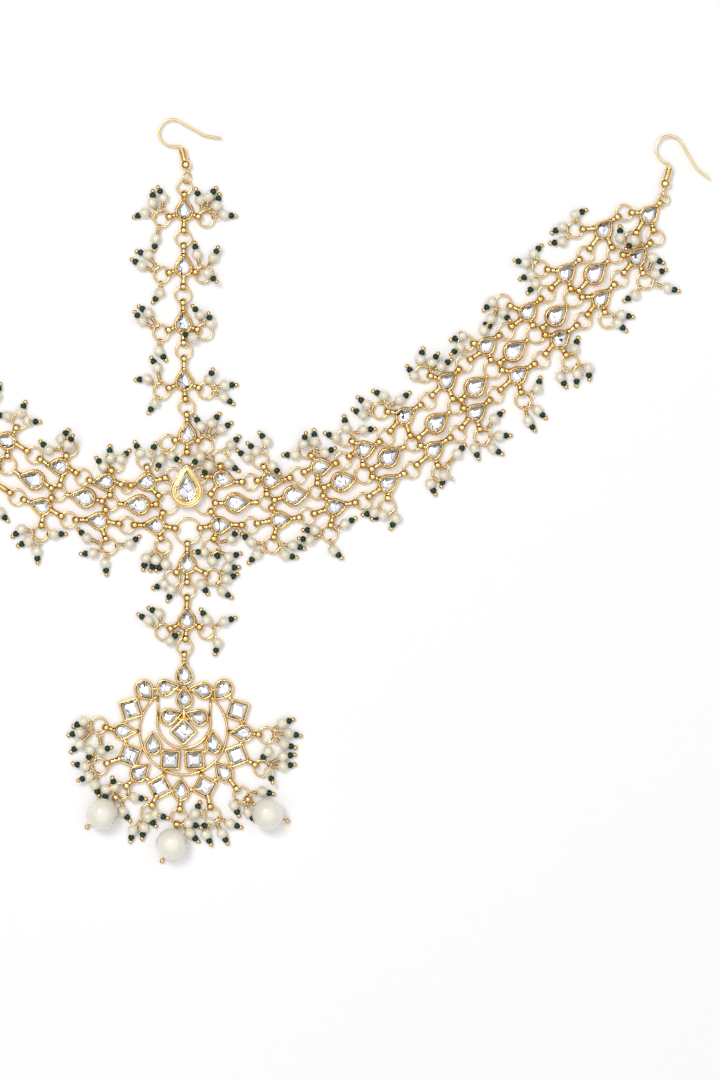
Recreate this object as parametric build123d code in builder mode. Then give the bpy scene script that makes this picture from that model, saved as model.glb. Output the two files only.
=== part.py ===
from build123d import *
import os
from math import atan2, cos, degrees, hypot, radians, sin

os.makedirs("parts", exist_ok=True)

# A head ornament of linked drop settings, laid flat with its stones up.
# The origin is the middle of the centrepiece, on the surface it lies on.
# Places in the tables are picture pixels; place() turns them into millimetres.

MM_PER_PIXEL = 0.32
CENTRE_PIXEL = (187, 486)

# Height of the plane in which all links and lug holes lie
LINK_Z = 1.5

# Jump rings
RING_WIRE = 0.33
RING_RADIUS = 2.55
SMALL_RING_RADIUS = 1.75
WIDE_RING_RADIUS = 2.95
JUNCTION_RING_RADIUS = 3.5
BOTTOM_RING_RADIUS = 4.15

# Lugs: a barrel eye with its hole along the ring's wire, on a round neck
EYE_RADIUS = 0.98
EYE_WALL = 1.0
EYE_WIDTH = 1.4
EYE_ROUNDING = 0.45
NECK_RADIUS = 0.6

# Drop settings: radius of the round back, reach from its middle to the tip
SETTING_RADIUS = 3.15
SETTING_REACH = 4.6
SETTING_HEIGHT = 2.3
FLANGE_HEIGHT = 1.0
MIDDLE_RADIUS = 3.5
MIDDLE_REACH = 5.3
MIDDLE_HEIGHT = 3.6
MIDDLE_FLANGE_HEIGHT = 2.0
STEP = 0.25
RIM = 0.85
RIM_CHAMFER = 0.2
POCKET_DEPTH = 1.2
FLANK_ANGLE = 60
TIP_SHARE = 1.5

# Cut stones
STONE_CLEARANCE = 0.12
STONE_GIRDLE = 0.7
STONE_CROWN = 0.75
TABLE_SHARE = 0.55
SIDE_ANGLE = 112

# Centrepiece
CENTREPIECE_PLACE = (187, 491)
CENTREPIECE_RADIUS = 5.36
CENTREPIECE_REACH = 8.64
CENTREPIECE_UNDERSIDE = 2.4
CENTREPIECE_RIM_TOP = 3.9
CENTREPIECE_GROOVE_FLOOR = 3.2
CENTREPIECE_TOP = 5.0
CENTREPIECE_INNER_RADIUS = 3.9
CENTREPIECE_INNER_REACH = 6.6
CENTREPIECE_STONE_RADIUS = 3.1
CENTREPIECE_STONE_REACH = 5.3
FOOT_PLACE = (187, 488)
FOOT_HALF_WIDTH = 1.9
FOOT_HALF_LENGTH = 3.2

# Tassel drops: pearl, green bead and gold ball on one pin
PEARL_RADIUS = 1.7
BEAD_RADIUS = 1.05
BEAD_HALF_LENGTH = 0.7
BEAD_AT = 2.45
BALL_RADIUS = 0.68
BALL_AT = 3.9
PIN_RADIUS = 0.3
STEM_RADIUS = 0.45
BALL_REST_Z = 0.75
STEEPEST_DROP = 35
FULL_LENGTH_SHARE = 0.92
BIG_PEARL_RADIUS = 5.0
BIG_PIN_BALL_RADIUS = 0.8

# Hooks
HOOK_WIRE = 0.38
HOOK_Z = 1.76
HOOK_BEAD_RADIUS = 1.76
HOOK_COIL_RADIUS = 1.25
HOOK_COIL_RIDGE = 0.18
HOOK_COIL_TURNS = 5
HOOK_BORE = 0.5

# Pendant frame
FRAME_HEIGHT = 2.0
FRAME_WIRE = 0.8
FRAME_POCKET_FLOOR = 0.8
BAR_CLEARANCE = 0.05
FRAME_RIM = 0.75

# Arm rows, right: px across, px down, heading of the tip in degrees
RIGHT_TOP = [
    (222, 479, -14), (270, 480, -2), (319.5, 467, 10), (363, 450, 20), (404, 417, 38), (446, 382, 42),
    (486, 347, 45), (527, 313, 48), (565, 274, 48), (603, 231, 52), (648, 216, 47),
]
RIGHT_MIDDLE = [
    (235, 503, 2), (293, 496, 10), (341, 482, 12), (388, 458, 38), (435, 424, 38), (474, 388, 40),
    (513, 352, 40), (555, 317, 42), (593.5, 275, 45),
]
RIGHT_BOTTOM = [
    (219, 525.5, 3), (279, 520, 5), (334, 507.5, 15), (387, 484, 35), (433, 451, 42), (475, 413.5, 40),
    (517, 376, 35), (559, 340, 40), (600, 300, 45), (636.3, 258.2, 48.5),
]

# Junction rings of the right arm, first to last: px across, px down, radius of the wire's middle
RIGHT_JUNCTIONS = [
    (205, 503, JUNCTION_RING_RADIUS), (267, 502, RING_RADIUS), (317, 491, RING_RADIUS),
    (364, 474, WIDE_RING_RADIUS), (413, 443, RING_RADIUS),
    (456, 406, RING_RADIUS), (493, 369, WIDE_RING_RADIUS),
    (536, 334, WIDE_RING_RADIUS), (573, 298, WIDE_RING_RADIUS), (615, 255, RING_RADIUS),
]

# Rings between neighbours of one row, right: px across, px down, radius of the wire's middle
RIGHT_TOP_RINGS = [
    (250, 482, RING_RADIUS), (297.5, 475.5, RING_RADIUS),
    (343, 460.5, RING_RADIUS), (385.5, 437, RING_RADIUS),
    (427, 401, RING_RADIUS), (464, 364, RING_RADIUS), (505.5, 331.5, RING_RADIUS),
    (546, 294, RING_RADIUS), (585, 255, RING_RADIUS), (624, 213, RING_RADIUS),
]
RIGHT_BOTTOM_RINGS = [
    (250, 525, RING_RADIUS), (307, 516, RING_RADIUS), (363, 501, RING_RADIUS), (411, 470, RING_RADIUS),
    (457, 434, RING_RADIUS), (495, 395, RING_RADIUS), (541, 360, RING_RADIUS), (583, 321, RING_RADIUS),
    (619, 279, RING_RADIUS),
]
RIGHT_END_RING = (655.5, 238, RING_RADIUS)
RIGHT_HOOK_RING = (663, 199.5, SMALL_RING_RADIUS)

# The left arm mirrors the right one, but for its first three columns, which the picture shows
MIRROR_SUM = 371
MIRROR_RISE = 9
LEFT_TOP_SHOWN = [(147.5, 482, 190), (107, 482, 184), (61, 467, 172)]
LEFT_MIDDLE_SHOWN = [(140, 505, 178), (86, 498, 170), (35, 480, 165)]
LEFT_BOTTOM_SHOWN = [(157.3, 525.8, 176.5), (100, 521, 174), (43, 507, 160)]
LEFT_JUNCTIONS_SHOWN = [
    (167, 503, JUNCTION_RING_RADIUS), (110, 503, RING_RADIUS), (58, 493, RING_RADIUS),
]
LEFT_TOP_RINGS_SHOWN = [
    (126, 487, SMALL_RING_RADIUS), (83, 477, RING_RADIUS), (34, 455, RING_RADIUS),
]
LEFT_BOTTOM_RINGS_SHOWN = [
    (127, 525, RING_RADIUS), (68.5, 520, RING_RADIUS), (17, 497, RING_RADIUS),
]

# Centre line: px across, px down, heading; then its rings from the hook down
CENTRE_UNITS = [
    (184.5, 212, 90), (184, 268, 90), (183.5, 324.5, 90), (184.5, 382, 90), (187.5, 435.5, 90),
]
CENTRE_RINGS = [
    (184.5, 187.5, 2.4), (183.5, 238.5, RING_RADIUS), (183, 295, RING_RADIUS),
    (184, 351, RING_RADIUS), (186.5, 407, RING_RADIUS), (187, 460, RING_RADIUS),
]
UPPER_RIGHT_RING = (199.5, 475.5, RING_RADIUS)
UPPER_LEFT_RING = (173, 476, RING_RADIUS)
BOTTOM_RING = (188, 531, BOTTOM_RING_RADIUS)
TIKKA_UNITS = [(187.4, 565, 90), (187, 621, 90)]
TIKKA_RING = (187.4, 590, RING_RADIUS)
PENDANT_RING = (184.5, 646.5, RING_RADIUS)

# Tassels: ring across, ring down, then for each drop pearl across, pearl down, ball across, ball down
# and, where a drop lies on top of its neighbours, how far it is lifted in millimetres
RIGHT_TOP_TASSELS = [
    (220, 458.5, [
        (231, 445, 240, 436), (229, 464, 239, 471), (209, 466, 203, 476, 2.5),
        (200, 456.8, 192.8, 465.2, 1.5),
    ]),
    (260, 460, [
        (267, 442, 259, 432), (256, 451, 248, 443.5), (247, 458, 238, 451), (273, 466, 280, 474, 1.9),
    ]),
    (306, 450, [
        (303, 444, 306, 433.5, 1.0), (315, 442, 314, 430), (325, 453, 335, 448.5),
        (295, 455, 283, 455),
    ]),
    (345, 438, [(346, 428, 344, 416), (363, 430, 375.5, 429), (336, 438, 323.5, 432.5)]),
    (380, 411, [
        (384, 396, 371.5, 390.5), (367, 405, 358, 397.5), (363, 415, 352, 409), (400, 400, 410, 392.5),
    ]),
    (423, 374, [
        (420, 360, 423, 348.5), (432, 362, 438, 354), (414, 376, 407, 366), (441.5, 366.5, 451, 360),
    ]),
    (466, 343.5, [(462, 336, 449, 341), (459.5, 347.5, 451, 354.5)]),
    (503, 303, [
        (492, 302, 483, 311), (490.5, 319, 481, 330), (503, 313.5, 508, 319.5),
        (483.5, 330.5, 493, 323),
    ]),
    (540, 269, [
        (533, 254, 541, 246), (525, 263, 514, 261), (531, 275, 519, 279.5), (535, 284, 527, 294),
    ]),
    (575, 230, [(575, 215, 586.5, 210), (562, 227, 550, 234), (562, 242, 549, 243.5)]),
    (632, 240, [(634, 241, 625, 250, 2.0), (620, 238.5, 620, 226)]),
]
RIGHT_BOTTOM_TASSELS = [
    (211, 546, [
        (231.5, 539, 237, 531), (204.5, 552, 194.5, 552), (212, 561, 221, 553),
        (229, 557, 240.5, 553.5),
    ]),
    (272, 545, [
        (251, 542, 242, 534), (257, 554, 248, 564), (285, 555, 298.5, 558), (293, 545, 305.5, 549),
    ]),
    (329, 533, [
        (315, 530, 300, 530), (310, 540, 299, 538.5), (345, 524, 356, 518), (333, 550, 345.5, 561.5),
    ]),
    (387, 506, [(374.5, 512.5, 362, 515), (383, 515, 372, 519), (396, 518, 390, 530)]),
    (440, 473, [(430, 484, 436, 496), (444, 475, 441, 488), (457, 454, 464.5, 445)]),
    (482, 437, [
        (494, 419, 503.5, 411), (498.5, 436, 511.5, 435.5), (492, 448, 503.5, 455),
        (474, 448, 479, 460),
    ]),
    (523, 400, [(537, 389, 541, 375), (537, 410, 547, 419.5), (528, 421, 535, 431)]),
    (570, 362, [
        (574, 349, 578, 338), (588, 368, 589.5, 382), (577, 374, 576, 387), (560, 377, 566.5, 388),
    ]),
    (607, 320, [(621, 315, 635, 317.5), (617, 323, 627, 332)]),
    (645, 281, [
        (652.5, 258, 663, 263), (654.5, 274, 666, 270), (667, 288, 679.5, 291.5),
        (634.5, 295, 624, 301),
    ]),
]
LEFT_TOP_TASSELS_SHOWN = [
    (145, 460, [(140, 453, 135, 442), (150.5, 454, 156, 443)]),
    (116, 464, [(110, 458, 110, 446), (121, 459, 131, 449), (103, 466.5, 97, 458)]),
    (69.5, 448.5, [(49, 450, 40, 441), (61, 439, 68.5, 430), (69, 445, 74, 436, 2.0)]),
    (20, 421, [(7.7, 416, -5, 415), (20.7, 413, 26.3, 400.4), (28.3, 421.3, 41, 422)]),
    (-10, 402, [(-3, 395.5, 0.5, 384), (-15, 387, -21, 376.5), (-24.5, 394.3, -36, 389.5)]),
]
LEFT_BOTTOM_TASSELS_SHOWN = [
    (163, 546, [(146, 558, 143, 571), (156, 560, 150, 571), (166, 564, 155, 571)]),
    (109, 546, [(87, 538, 77, 528), (93, 553, 81, 554), (105, 563, 107, 577), (130, 544, 140, 536)]),
    (41, 533, [(22, 529, 11, 538), (29, 541, 17.5, 546), (37, 551, 38, 564), (54, 534, 66, 534)]),
    (-14, 501, [(0, 512, 9, 522), (-12, 516, -8, 528), (-25, 514, -34, 523)]),
]
CENTRE_TASSELS = [
    (162, 219, [
        (163.5, 198, 158.5, 188), (152.5, 203, 153, 190), (145, 213, 133, 218), (156, 239, 154, 251),
    ]),
    (206, 219, [
        (200, 200.5, 196.5, 190), (208.5, 197.5, 216, 188.5), (216.5, 206, 219.5, 195),
        (224, 215, 237, 216.5),
    ]),
    (162, 275, [(148, 255, 135.5, 251), (142, 266, 131, 259), (160, 293, 152, 304)]),
    (203, 275, [(197, 254.5, 194.5, 242.5), (213.5, 258, 218.5, 248), (208, 274, 219, 284, 2.0)]),
    (161.5, 333, [(149, 313, 139.5, 307), (142, 321, 135, 312.5), (159, 351, 167, 361.5)]),
    (205, 332, [(200, 315, 193, 306.5), (211, 324, 209, 314), (193, 338, 182, 333.5, 1.6)]),
    (162, 391, [(157.5, 368, 151.5, 358), (147.5, 379, 135, 380), (155, 403, 148, 414)]),
    (206, 391, [(209, 379, 213.5, 370), (224.5, 385, 238, 385), (224, 397, 234.5, 405)]),
    (168, 443, [(161, 460, 158, 468.5), (172, 456, 180.3, 461.6)]),
    (205, 445, [(201, 426.5, 195, 416), (212, 423, 220, 413.5), (221.5, 429.5, 233, 422)]),
]
TIKKA_TASSELS = [
    (172, 578.5, [(164.4, 583.9, 152.6, 588.5), (172, 589.7, 167, 603)]),
    (213, 577, [
        (227, 567.8, 239, 567.3), (226.7, 579.3, 237.6, 574.4), (221.8, 590.8, 232.3, 598),
        (201.5, 584, 208, 594),
    ]),
    (163.6, 632, [(159.4, 613.3, 146.8, 607.1), (148.6, 620.6, 138, 614.2), (169.5, 640.5, 179, 633)]),
    (206.5, 631, [(207, 619.8, 200.7, 608.7), (224.1, 621.4, 236.8, 617.5), (218, 642.8, 214.5, 657)]),
]
PENDANT_TASSELS = [
    (99, 725, [(84, 721, 72, 727), (80, 732, 67, 735.5), (80, 744, 71, 752), (101.5, 750, 112, 747)]),
    (100, 766, [
        (90, 749.5, 88.5, 761), (85, 766, 73, 763.5), (89, 776, 79, 780), (95, 784.5, 99, 795.5),
    ]),
    (121, 791, [
        (106.3, 788.8, 105, 800.5), (115, 787, 113, 777), (134, 797, 147, 799), (123, 811, 131, 822),
    ]),
    (149, 812, [
        (148, 817, 156, 826), (156.5, 814, 167.5, 818), (144, 827, 142, 841), (133, 830, 130, 844),
    ]),
    (179, 816.5, [(188.5, 823, 200, 826.5), (190, 833, 198, 841)]),
    (212, 814, [
        (195, 813, 200, 802), (210, 822, 201.3, 827), (206, 834, 212, 846), (222, 833, 228, 844),
        (230, 823, 243, 828),
    ]),
    (241.5, 794.5, [(234, 805, 240, 818), (262, 791, 274, 794), (248, 812, 257, 823)]),
    (262, 768, [
        (269, 772, 273, 782), (283, 766, 295, 764.5), (283, 756, 295.5, 754.5), (268, 751, 260, 761),
    ]),
    (266.5, 735, [(282, 723, 295, 719), (289, 733, 301, 736), (284, 744, 297, 748)]),
]
# Big pearls: the ring each hangs on, then pearl across, pearl down, ball across, ball down
BIG_PEARLS = [(2, 103, 813, 87, 827), (4, 172, 843, 162, 861), (6, 268, 813, 288, 821)]

# Pendant drops: px across, px down, heading, stone radius, stone reach
PENDANT_DROPS = [
    (184.5, 676, 90, 2.1, 3.4), (184.5, 700, 90, 2.05, 3.4),
    (165, 688, 10, 2.05, 3.4), (204, 690.5, 170, 2.05, 3.4),
    (144, 689, -50, 2.3, 3.2), (224, 688.5, -130, 2.3, 3.2),
    (122, 731, 0, 2.1, 3.7), (244.5, 733, 180, 2.1, 3.6),
    (138.5, 773.5, 40, 2.1, 3.4), (225, 773.5, 130, 2.1, 3.4),
    (181, 792, 90, 2.1, 3.4), (168, 717, 18, 2.0, 3.7), (200, 717.5, 162, 2.0, 3.6),
    (153, 746, 90, 2.1, 3.4), (213, 745, 90, 2.1, 3.4),
]
# Pendant squares: px across, px down, turn in degrees, side of the stone
PENDANT_SQUARES = [
    (131, 709, 17, 5.0), (238, 710.5, -17, 4.9), (130, 755, -20, 4.9), (237, 755, 20, 4.9),
    (160, 787, 28, 4.9), (205, 786.5, -28, 4.8), (183.5, 731.5, 45, 5.0),
    (170.5, 759.5, -4, 4.7), (194.5, 759.5, 4, 4.7),
]
# Frame circles: px across, px down, radius in millimetres, then start and sweep of the arc in degrees
OUTER_CIRCLE = (183.5, 731, 14.0, 125.5, 286)
INNER_CIRCLE = (184, 721.5, 8.5, 135.6, 266)
PENDANT_BAIL_FROM = (184.5, 662)
# Short bars that join neighbouring bezels: from px, to px
FRAME_BARS = [
    (184.5, 690, 165, 688), (184.5, 690, 204, 690.5), (165, 688, 144, 689), (204, 690.5, 224, 688.5),
    (144, 689, 131, 709), (224, 688.5, 238, 710.5), (131, 709, 122, 731), (238, 710.5, 244.5, 733),
    (122, 731, 130, 755), (244.5, 733, 237, 755), (130, 755, 138.5, 773.5), (237, 755, 225, 773.5),
    (138.5, 773.5, 160, 787), (225, 773.5, 205, 786.5), (160, 787, 181, 792), (205, 786.5, 181, 792),
    (184.5, 676, 184.5, 700), (184.5, 700, 183.5, 731.5),
    (168, 717, 183.5, 719), (200, 717.5, 183.5, 719),
    (153, 746, 170.5, 759.5), (213, 745, 194.5, 759.5),
    (122, 731, 146, 731), (244.5, 733, 222, 731), (160, 787, 166, 768), (205, 786.5, 200, 768),
]
# Lugs of the pendant: px of the bezel each one grows from, in the order of the pendant tassels
PENDANT_LUG_ROOTS = [
    (115, 730), (121, 758), (133, 780), (157, 795), (181, 800),
    (208, 795), (229.5, 779), (247, 760), (252, 733.5),
]

# Hook shape, with the bead's middle at the origin and the shank along +Y
HOOK_BEND_MIDDLE = (-1.58, 11.0)
HOOK_BEND_RADIUS = 4.32
HOOK_BEND_START = 47.3
HOOK_BEND_CORNERS = 3
HOOK_BEND_TURN = 208
HOOK_TIP = (13.14, 5.31)
HOOK_TIP_BEND = (8.1, 7.5)
HOOK_TIP_BEND_RADIUS = 2.0
HOOK_SHOULDER = (0, 6.12)
HOOK_SHOULDER_RADIUS = 0.9
HOOK_COIL_START = 1.5
HOOK_COIL_LENGTH = 3.7
HOOK_EYE_RADIUS = 0.95
HOOK_LOOP_RADIUS = 1.72
HOOK_LOOP_WIRE = 0.33
HOOK_LOOP_TILT = 45
HOOK_LOOP_Z = 1.56
HOOK_LOOP_PLACE = (187.3, 178.6)
HOOK_SHANK_END = (0, -2.2)
HOOK_JOINT = 0.47
CENTRE_HOOK = (186, 165, 104.7)
RIGHT_HOOK = (664.8, 184, 74.6)


def place(across, down, height=0):
    """Point of the part, in millimetres, from a pixel of the picture and a height."""
    middle_across, middle_down = CENTRE_PIXEL
    return Vector((across - middle_across) * MM_PER_PIXEL, (middle_down - down) * MM_PER_PIXEL, height)


def flat_heading(start, end):
    """Heading, in degrees from +X, of the way from one point to another, seen from above."""
    return degrees(atan2(end.Y - start.Y, end.X - start.X))


def mirrored_row(row):
    """A unit of the left arm from its twin on the right: px across, px down, heading."""
    across, down, heading = row
    return (MIRROR_SUM - across, down - MIRROR_RISE, 180 - heading)


def mirrored_ring(row):
    """A ring of the left arm from its twin on the right."""
    across, down, radius = row
    return (MIRROR_SUM - across, down - MIRROR_RISE, radius)


def mirrored_tassel(row):
    """A tassel of the left arm from its twin on the right."""
    across, down, drops = row
    turned = []
    for pearl_across, pearl_down, ball_across, ball_down, *lift in drops:
        pearl_side = (MIRROR_SUM - pearl_across, pearl_down - MIRROR_RISE)
        ball_side = (MIRROR_SUM - ball_across, ball_down - MIRROR_RISE)
        turned.append((*pearl_side, *ball_side, *lift))
    return (MIRROR_SUM - across, down - MIRROR_RISE, turned)


def completed(shown, right_rows, mirrored):
    """The rows that the picture shows, then the mirrored ones for the rest of the arm."""
    return shown + [mirrored(row) for row in right_rows[len(shown):]]


LEFT_TOP = completed(LEFT_TOP_SHOWN, RIGHT_TOP, mirrored_row)
LEFT_MIDDLE = completed(LEFT_MIDDLE_SHOWN, RIGHT_MIDDLE, mirrored_row)
LEFT_BOTTOM = completed(LEFT_BOTTOM_SHOWN, RIGHT_BOTTOM, mirrored_row)
LEFT_JUNCTIONS = completed(LEFT_JUNCTIONS_SHOWN, RIGHT_JUNCTIONS, mirrored_ring)
LEFT_TOP_RINGS = completed(LEFT_TOP_RINGS_SHOWN, RIGHT_TOP_RINGS, mirrored_ring)
LEFT_BOTTOM_RINGS = completed(LEFT_BOTTOM_RINGS_SHOWN, RIGHT_BOTTOM_RINGS, mirrored_ring)
LEFT_TOP_TASSELS = completed(LEFT_TOP_TASSELS_SHOWN, RIGHT_TOP_TASSELS, mirrored_tassel)
LEFT_BOTTOM_TASSELS = completed(LEFT_BOTTOM_TASSELS_SHOWN, RIGHT_BOTTOM_TASSELS, mirrored_tassel)
LEFT_END_RING = mirrored_ring(RIGHT_END_RING)
LEFT_HOOK_RING = mirrored_ring(RIGHT_HOOK_RING)
LEFT_HOOK = mirrored_row(RIGHT_HOOK)


def teardrop(radius, reach):
    """A round back about the origin and two bowed flanks that meet in a tip on +X."""
    turn = radians(FLANK_ANGLE)
    upper = (radius * cos(turn), radius * sin(turn))
    lower = (upper[0], -upper[1])
    with BuildSketch() as outline:
        with BuildLine():
            ThreePointArc(upper, (-radius, 0), lower)
            TangentArc(upper, (reach, 0), tangent=(sin(turn), -cos(turn)))
            TangentArc(lower, (reach, 0), tangent=(sin(turn), cos(turn)))
        make_face()
    return outline.sketch


def teardrop_corners(radius, reach, share=1.0):
    """Ten points on that outline, drawn in towards its middle by the share."""
    turn = radians(FLANK_ANGLE)
    upper = Vector(radius * cos(turn), radius * sin(turn))
    tip = Vector(reach, 0)
    chord = tip - upper
    bow = radians(flat_heading(upper, tip)) - turn + radians(90)
    across = Vector(-chord.Y, chord.X).normalized()
    flank = (upper + tip) / 2 + across * (chord.length / 2) * abs(sin(bow / 2) / cos(bow / 2))
    half = [tip, flank, upper]
    half += [Vector(radius * cos(radians(angle)), radius * sin(radians(angle))) for angle in (100, 140)]
    corners = [(point.X, point.Y) for point in half] + [(-radius, 0)]
    corners += [(point.X, -point.Y) for point in reversed(half[1:])]
    middle = (reach - radius) / 2
    return [(middle + (x - middle) * share, y * share) for x, y in corners]


def square_corners(side, share=1.0):
    """Eight points of a square with its corners taken off."""
    half = side / 2 * share
    cut = half - side * 0.12 * share
    return [
        (half, cut), (cut, half), (-cut, half), (-half, cut),
        (-half, -cut), (-cut, -half), (cut, -half), (half, -cut),
    ]


def make_stone(girdle, table, seat):
    """A stone with a flat back, an upright girdle and facets up to its table."""
    crown = seat + STONE_GIRDLE
    with BuildPart() as stone:
        with BuildSketch(Plane.XY.offset(seat)):
            with BuildLine():
                Polyline(*girdle, close=True)
            make_face()
        extrude(amount=STONE_GIRDLE)
        with BuildSketch(Plane.XY.offset(crown)):
            with BuildLine():
                Polyline(*girdle, close=True)
            make_face()
        with BuildSketch(Plane.XY.offset(crown + STONE_CROWN)):
            with BuildLine():
                Polyline(*table, close=True)
            make_face()
        loft(ruled=True)
    return stone.part


def make_drop_stone(radius, reach, seat):
    """A drop-shaped stone, a little clear of the pocket of these sizes."""
    inner_radius = radius - STONE_CLEARANCE
    inner_reach = reach - 2 * STONE_CLEARANCE
    girdle = teardrop_corners(inner_radius, inner_reach)
    table = teardrop_corners(inner_radius, inner_reach, TABLE_SHARE)
    return make_stone(girdle, table, seat)


def make_body(radius, reach, height, flange_height):
    """A drop setting without lugs: flange, rim and the pocket for its stone."""
    with BuildPart() as body:
        with BuildSketch():
            add(teardrop(radius, reach))
        extrude(amount=flange_height)
        with BuildSketch(Plane.XY.offset(flange_height)):
            add(teardrop(radius - STEP, reach - 1.4 * STEP))
        extrude(amount=height - flange_height)
        with BuildSketch(Plane.XY.offset(height - POCKET_DEPTH)):
            add(teardrop(radius - RIM, reach - TIP_SHARE * RIM))
        extrude(amount=2 * POCKET_DEPTH, mode=Mode.SUBTRACT)
        chamfer(body.faces().sort_by(Axis.Z)[-1].edges(), length=RIM_CHAMFER)
    return body.part


def make_eye():
    """The barrel eye of a lug at the origin, its hole along Y."""
    with BuildPart() as eye:
        with BuildSketch():
            with Locations((EYE_RADIUS, 0)):
                RectangleRounded(EYE_WALL, EYE_WIDTH, EYE_ROUNDING)
        revolve(axis=Axis.Y)
    return eye.part


def make_rod(start, end, radius):
    """A round rod from one point to another."""
    with BuildPart() as rod:
        with BuildSketch(Plane(origin=start, z_dir=end - start)):
            Circle(radius)
        extrude(amount=(end - start).length)
    return rod.part


def make_torus(spot, radius, wire):
    """A wire ring about a location's origin, in its level plane."""
    with BuildPart() as ring:
        with Locations(spot):
            Torus(radius, wire)
    return ring.part


EYE = make_eye()


def make_ring(across, down, radius):
    """A jump ring lying level at the height of the links."""
    return make_torus(Location(place(across, down, LINK_Z)), radius, RING_WIRE)


def make_lug(root, ring):
    """Pieces of one lug: its eye round the ring's wire, nearest the root, and the neck to the root."""
    across, down, radius = ring
    middle = place(across, down, LINK_Z)
    heading = flat_heading(middle, root)
    way = Vector(cos(radians(heading)), sin(radians(heading)))
    eye_middle = middle + way * radius
    eye = EYE.moved(Location(eye_middle, (0, 0, heading)))
    return [eye, make_rod(eye_middle + way * EYE_RADIUS, Vector(root.X, root.Y, LINK_Z), NECK_RADIUS)]


def setting_root(unit, side, radius, reach):
    """Where a lug's neck ends in the rim: side is an angle from the tip, and 0 the tip itself."""
    across, down, heading = unit
    depth = reach - RIM if side == 0 else radius - 0.6 * RIM
    angle = radians(heading + side)
    return place(across, down, LINK_Z) + Vector(cos(angle), sin(angle)) * depth


def make_setting(body, unit, links, radius=SETTING_RADIUS, reach=SETTING_REACH, extra=()):
    """A setting at its place with a lug on each side that links names, as one solid."""
    across, down, heading = unit
    pieces = [body.moved(Location(place(across, down), (0, 0, heading)))]
    for side, ring in links:
        pieces += make_lug(setting_root(unit, side, radius, reach), ring)
    with BuildPart() as setting:
        add(pieces + list(extra))
    return setting.part


def make_middle_setting(body, unit, tail_ring, tip_ring):
    """A middle-row setting: a lug at the tail, and the junction ring soldered to its tip."""
    across, down, radius = tip_ring
    tip_root = setting_root(unit, 0, MIDDLE_RADIUS, MIDDLE_REACH)
    middle = place(across, down, LINK_Z)
    way = (tip_root - middle).normalized()
    solder = [make_ring(*tip_ring), make_rod(middle + way * radius, tip_root, NECK_RADIUS)]
    return make_setting(body, unit, [(180, tail_ring)], MIDDLE_RADIUS, MIDDLE_REACH, solder)


def make_drop_form():
    """Pearl at the origin, green bead and gold ball on one pin along +X, turned from one outline."""
    pearl_end = (PEARL_RADIUS**2 - PIN_RADIUS**2) ** 0.5
    ball_start = BALL_AT - (BALL_RADIUS**2 - PIN_RADIUS**2) ** 0.5
    with BuildPart() as drop:
        with BuildSketch():
            with BuildLine():
                ThreePointArc((-PEARL_RADIUS, 0), (0, PEARL_RADIUS), (pearl_end, PIN_RADIUS))
                Line((pearl_end, PIN_RADIUS), (BEAD_AT - BEAD_HALF_LENGTH, PIN_RADIUS))
                ThreePointArc(
                    (BEAD_AT - BEAD_HALF_LENGTH, PIN_RADIUS),
                    (BEAD_AT, BEAD_RADIUS),
                    (BEAD_AT + BEAD_HALF_LENGTH, PIN_RADIUS),
                )
                Line((BEAD_AT + BEAD_HALF_LENGTH, PIN_RADIUS), (ball_start, PIN_RADIUS))
                ThreePointArc(
                    (ball_start, PIN_RADIUS), (BALL_AT, BALL_RADIUS), (BALL_AT + BALL_RADIUS, 0)
                )
                Line((BALL_AT + BALL_RADIUS, 0), (-PEARL_RADIUS, 0))
            make_face()
        revolve(axis=Axis.X)
    return drop.part


DROP_FORM = make_drop_form()


def drop_pitch(run, lift):
    """How far the pin points up: down to the table at full length, up where it looks foreshortened."""
    if run < FULL_LENGTH_SHARE * BALL_AT:
        return min(STEEPEST_DROP, degrees(atan2((BALL_AT**2 - run**2) ** 0.5, run)))
    if lift:
        return 0
    return -degrees(atan2(PEARL_RADIUS - BALL_REST_Z, BALL_AT))


def make_drop(middle, pearl_across, pearl_down, ball_across, ball_down, lift=0):
    """Pieces of one drop of a tassel whose ring has the given middle: the stem and the strung pin."""
    pearl = place(pearl_across, pearl_down, PEARL_RADIUS + lift)
    ball = place(ball_across, ball_down, PEARL_RADIUS + lift)
    heading = flat_heading(pearl, ball)
    pitch = drop_pitch((ball - pearl).length, lift)
    spot = Location(pearl) * Location((0, 0, 0), (0, 0, heading)) * Location((0, 0, 0), (0, -pitch, 0))
    form = DROP_FORM.moved(spot)
    to_pearl = Vector(pearl.X - middle.X, pearl.Y - middle.Y).normalized()
    return [make_rod(middle + to_pearl * RING_RADIUS, pearl, STEM_RADIUS), form]


def make_tassel(across, down, drops):
    """A jump ring and its drops as one solid."""
    middle = place(across, down, LINK_Z)
    pieces = [make_ring(across, down, RING_RADIUS)]
    for drop in drops:
        pieces += make_drop(middle, *drop)
    with BuildPart() as tassel:
        add(pieces)
    return tassel.part


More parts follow.
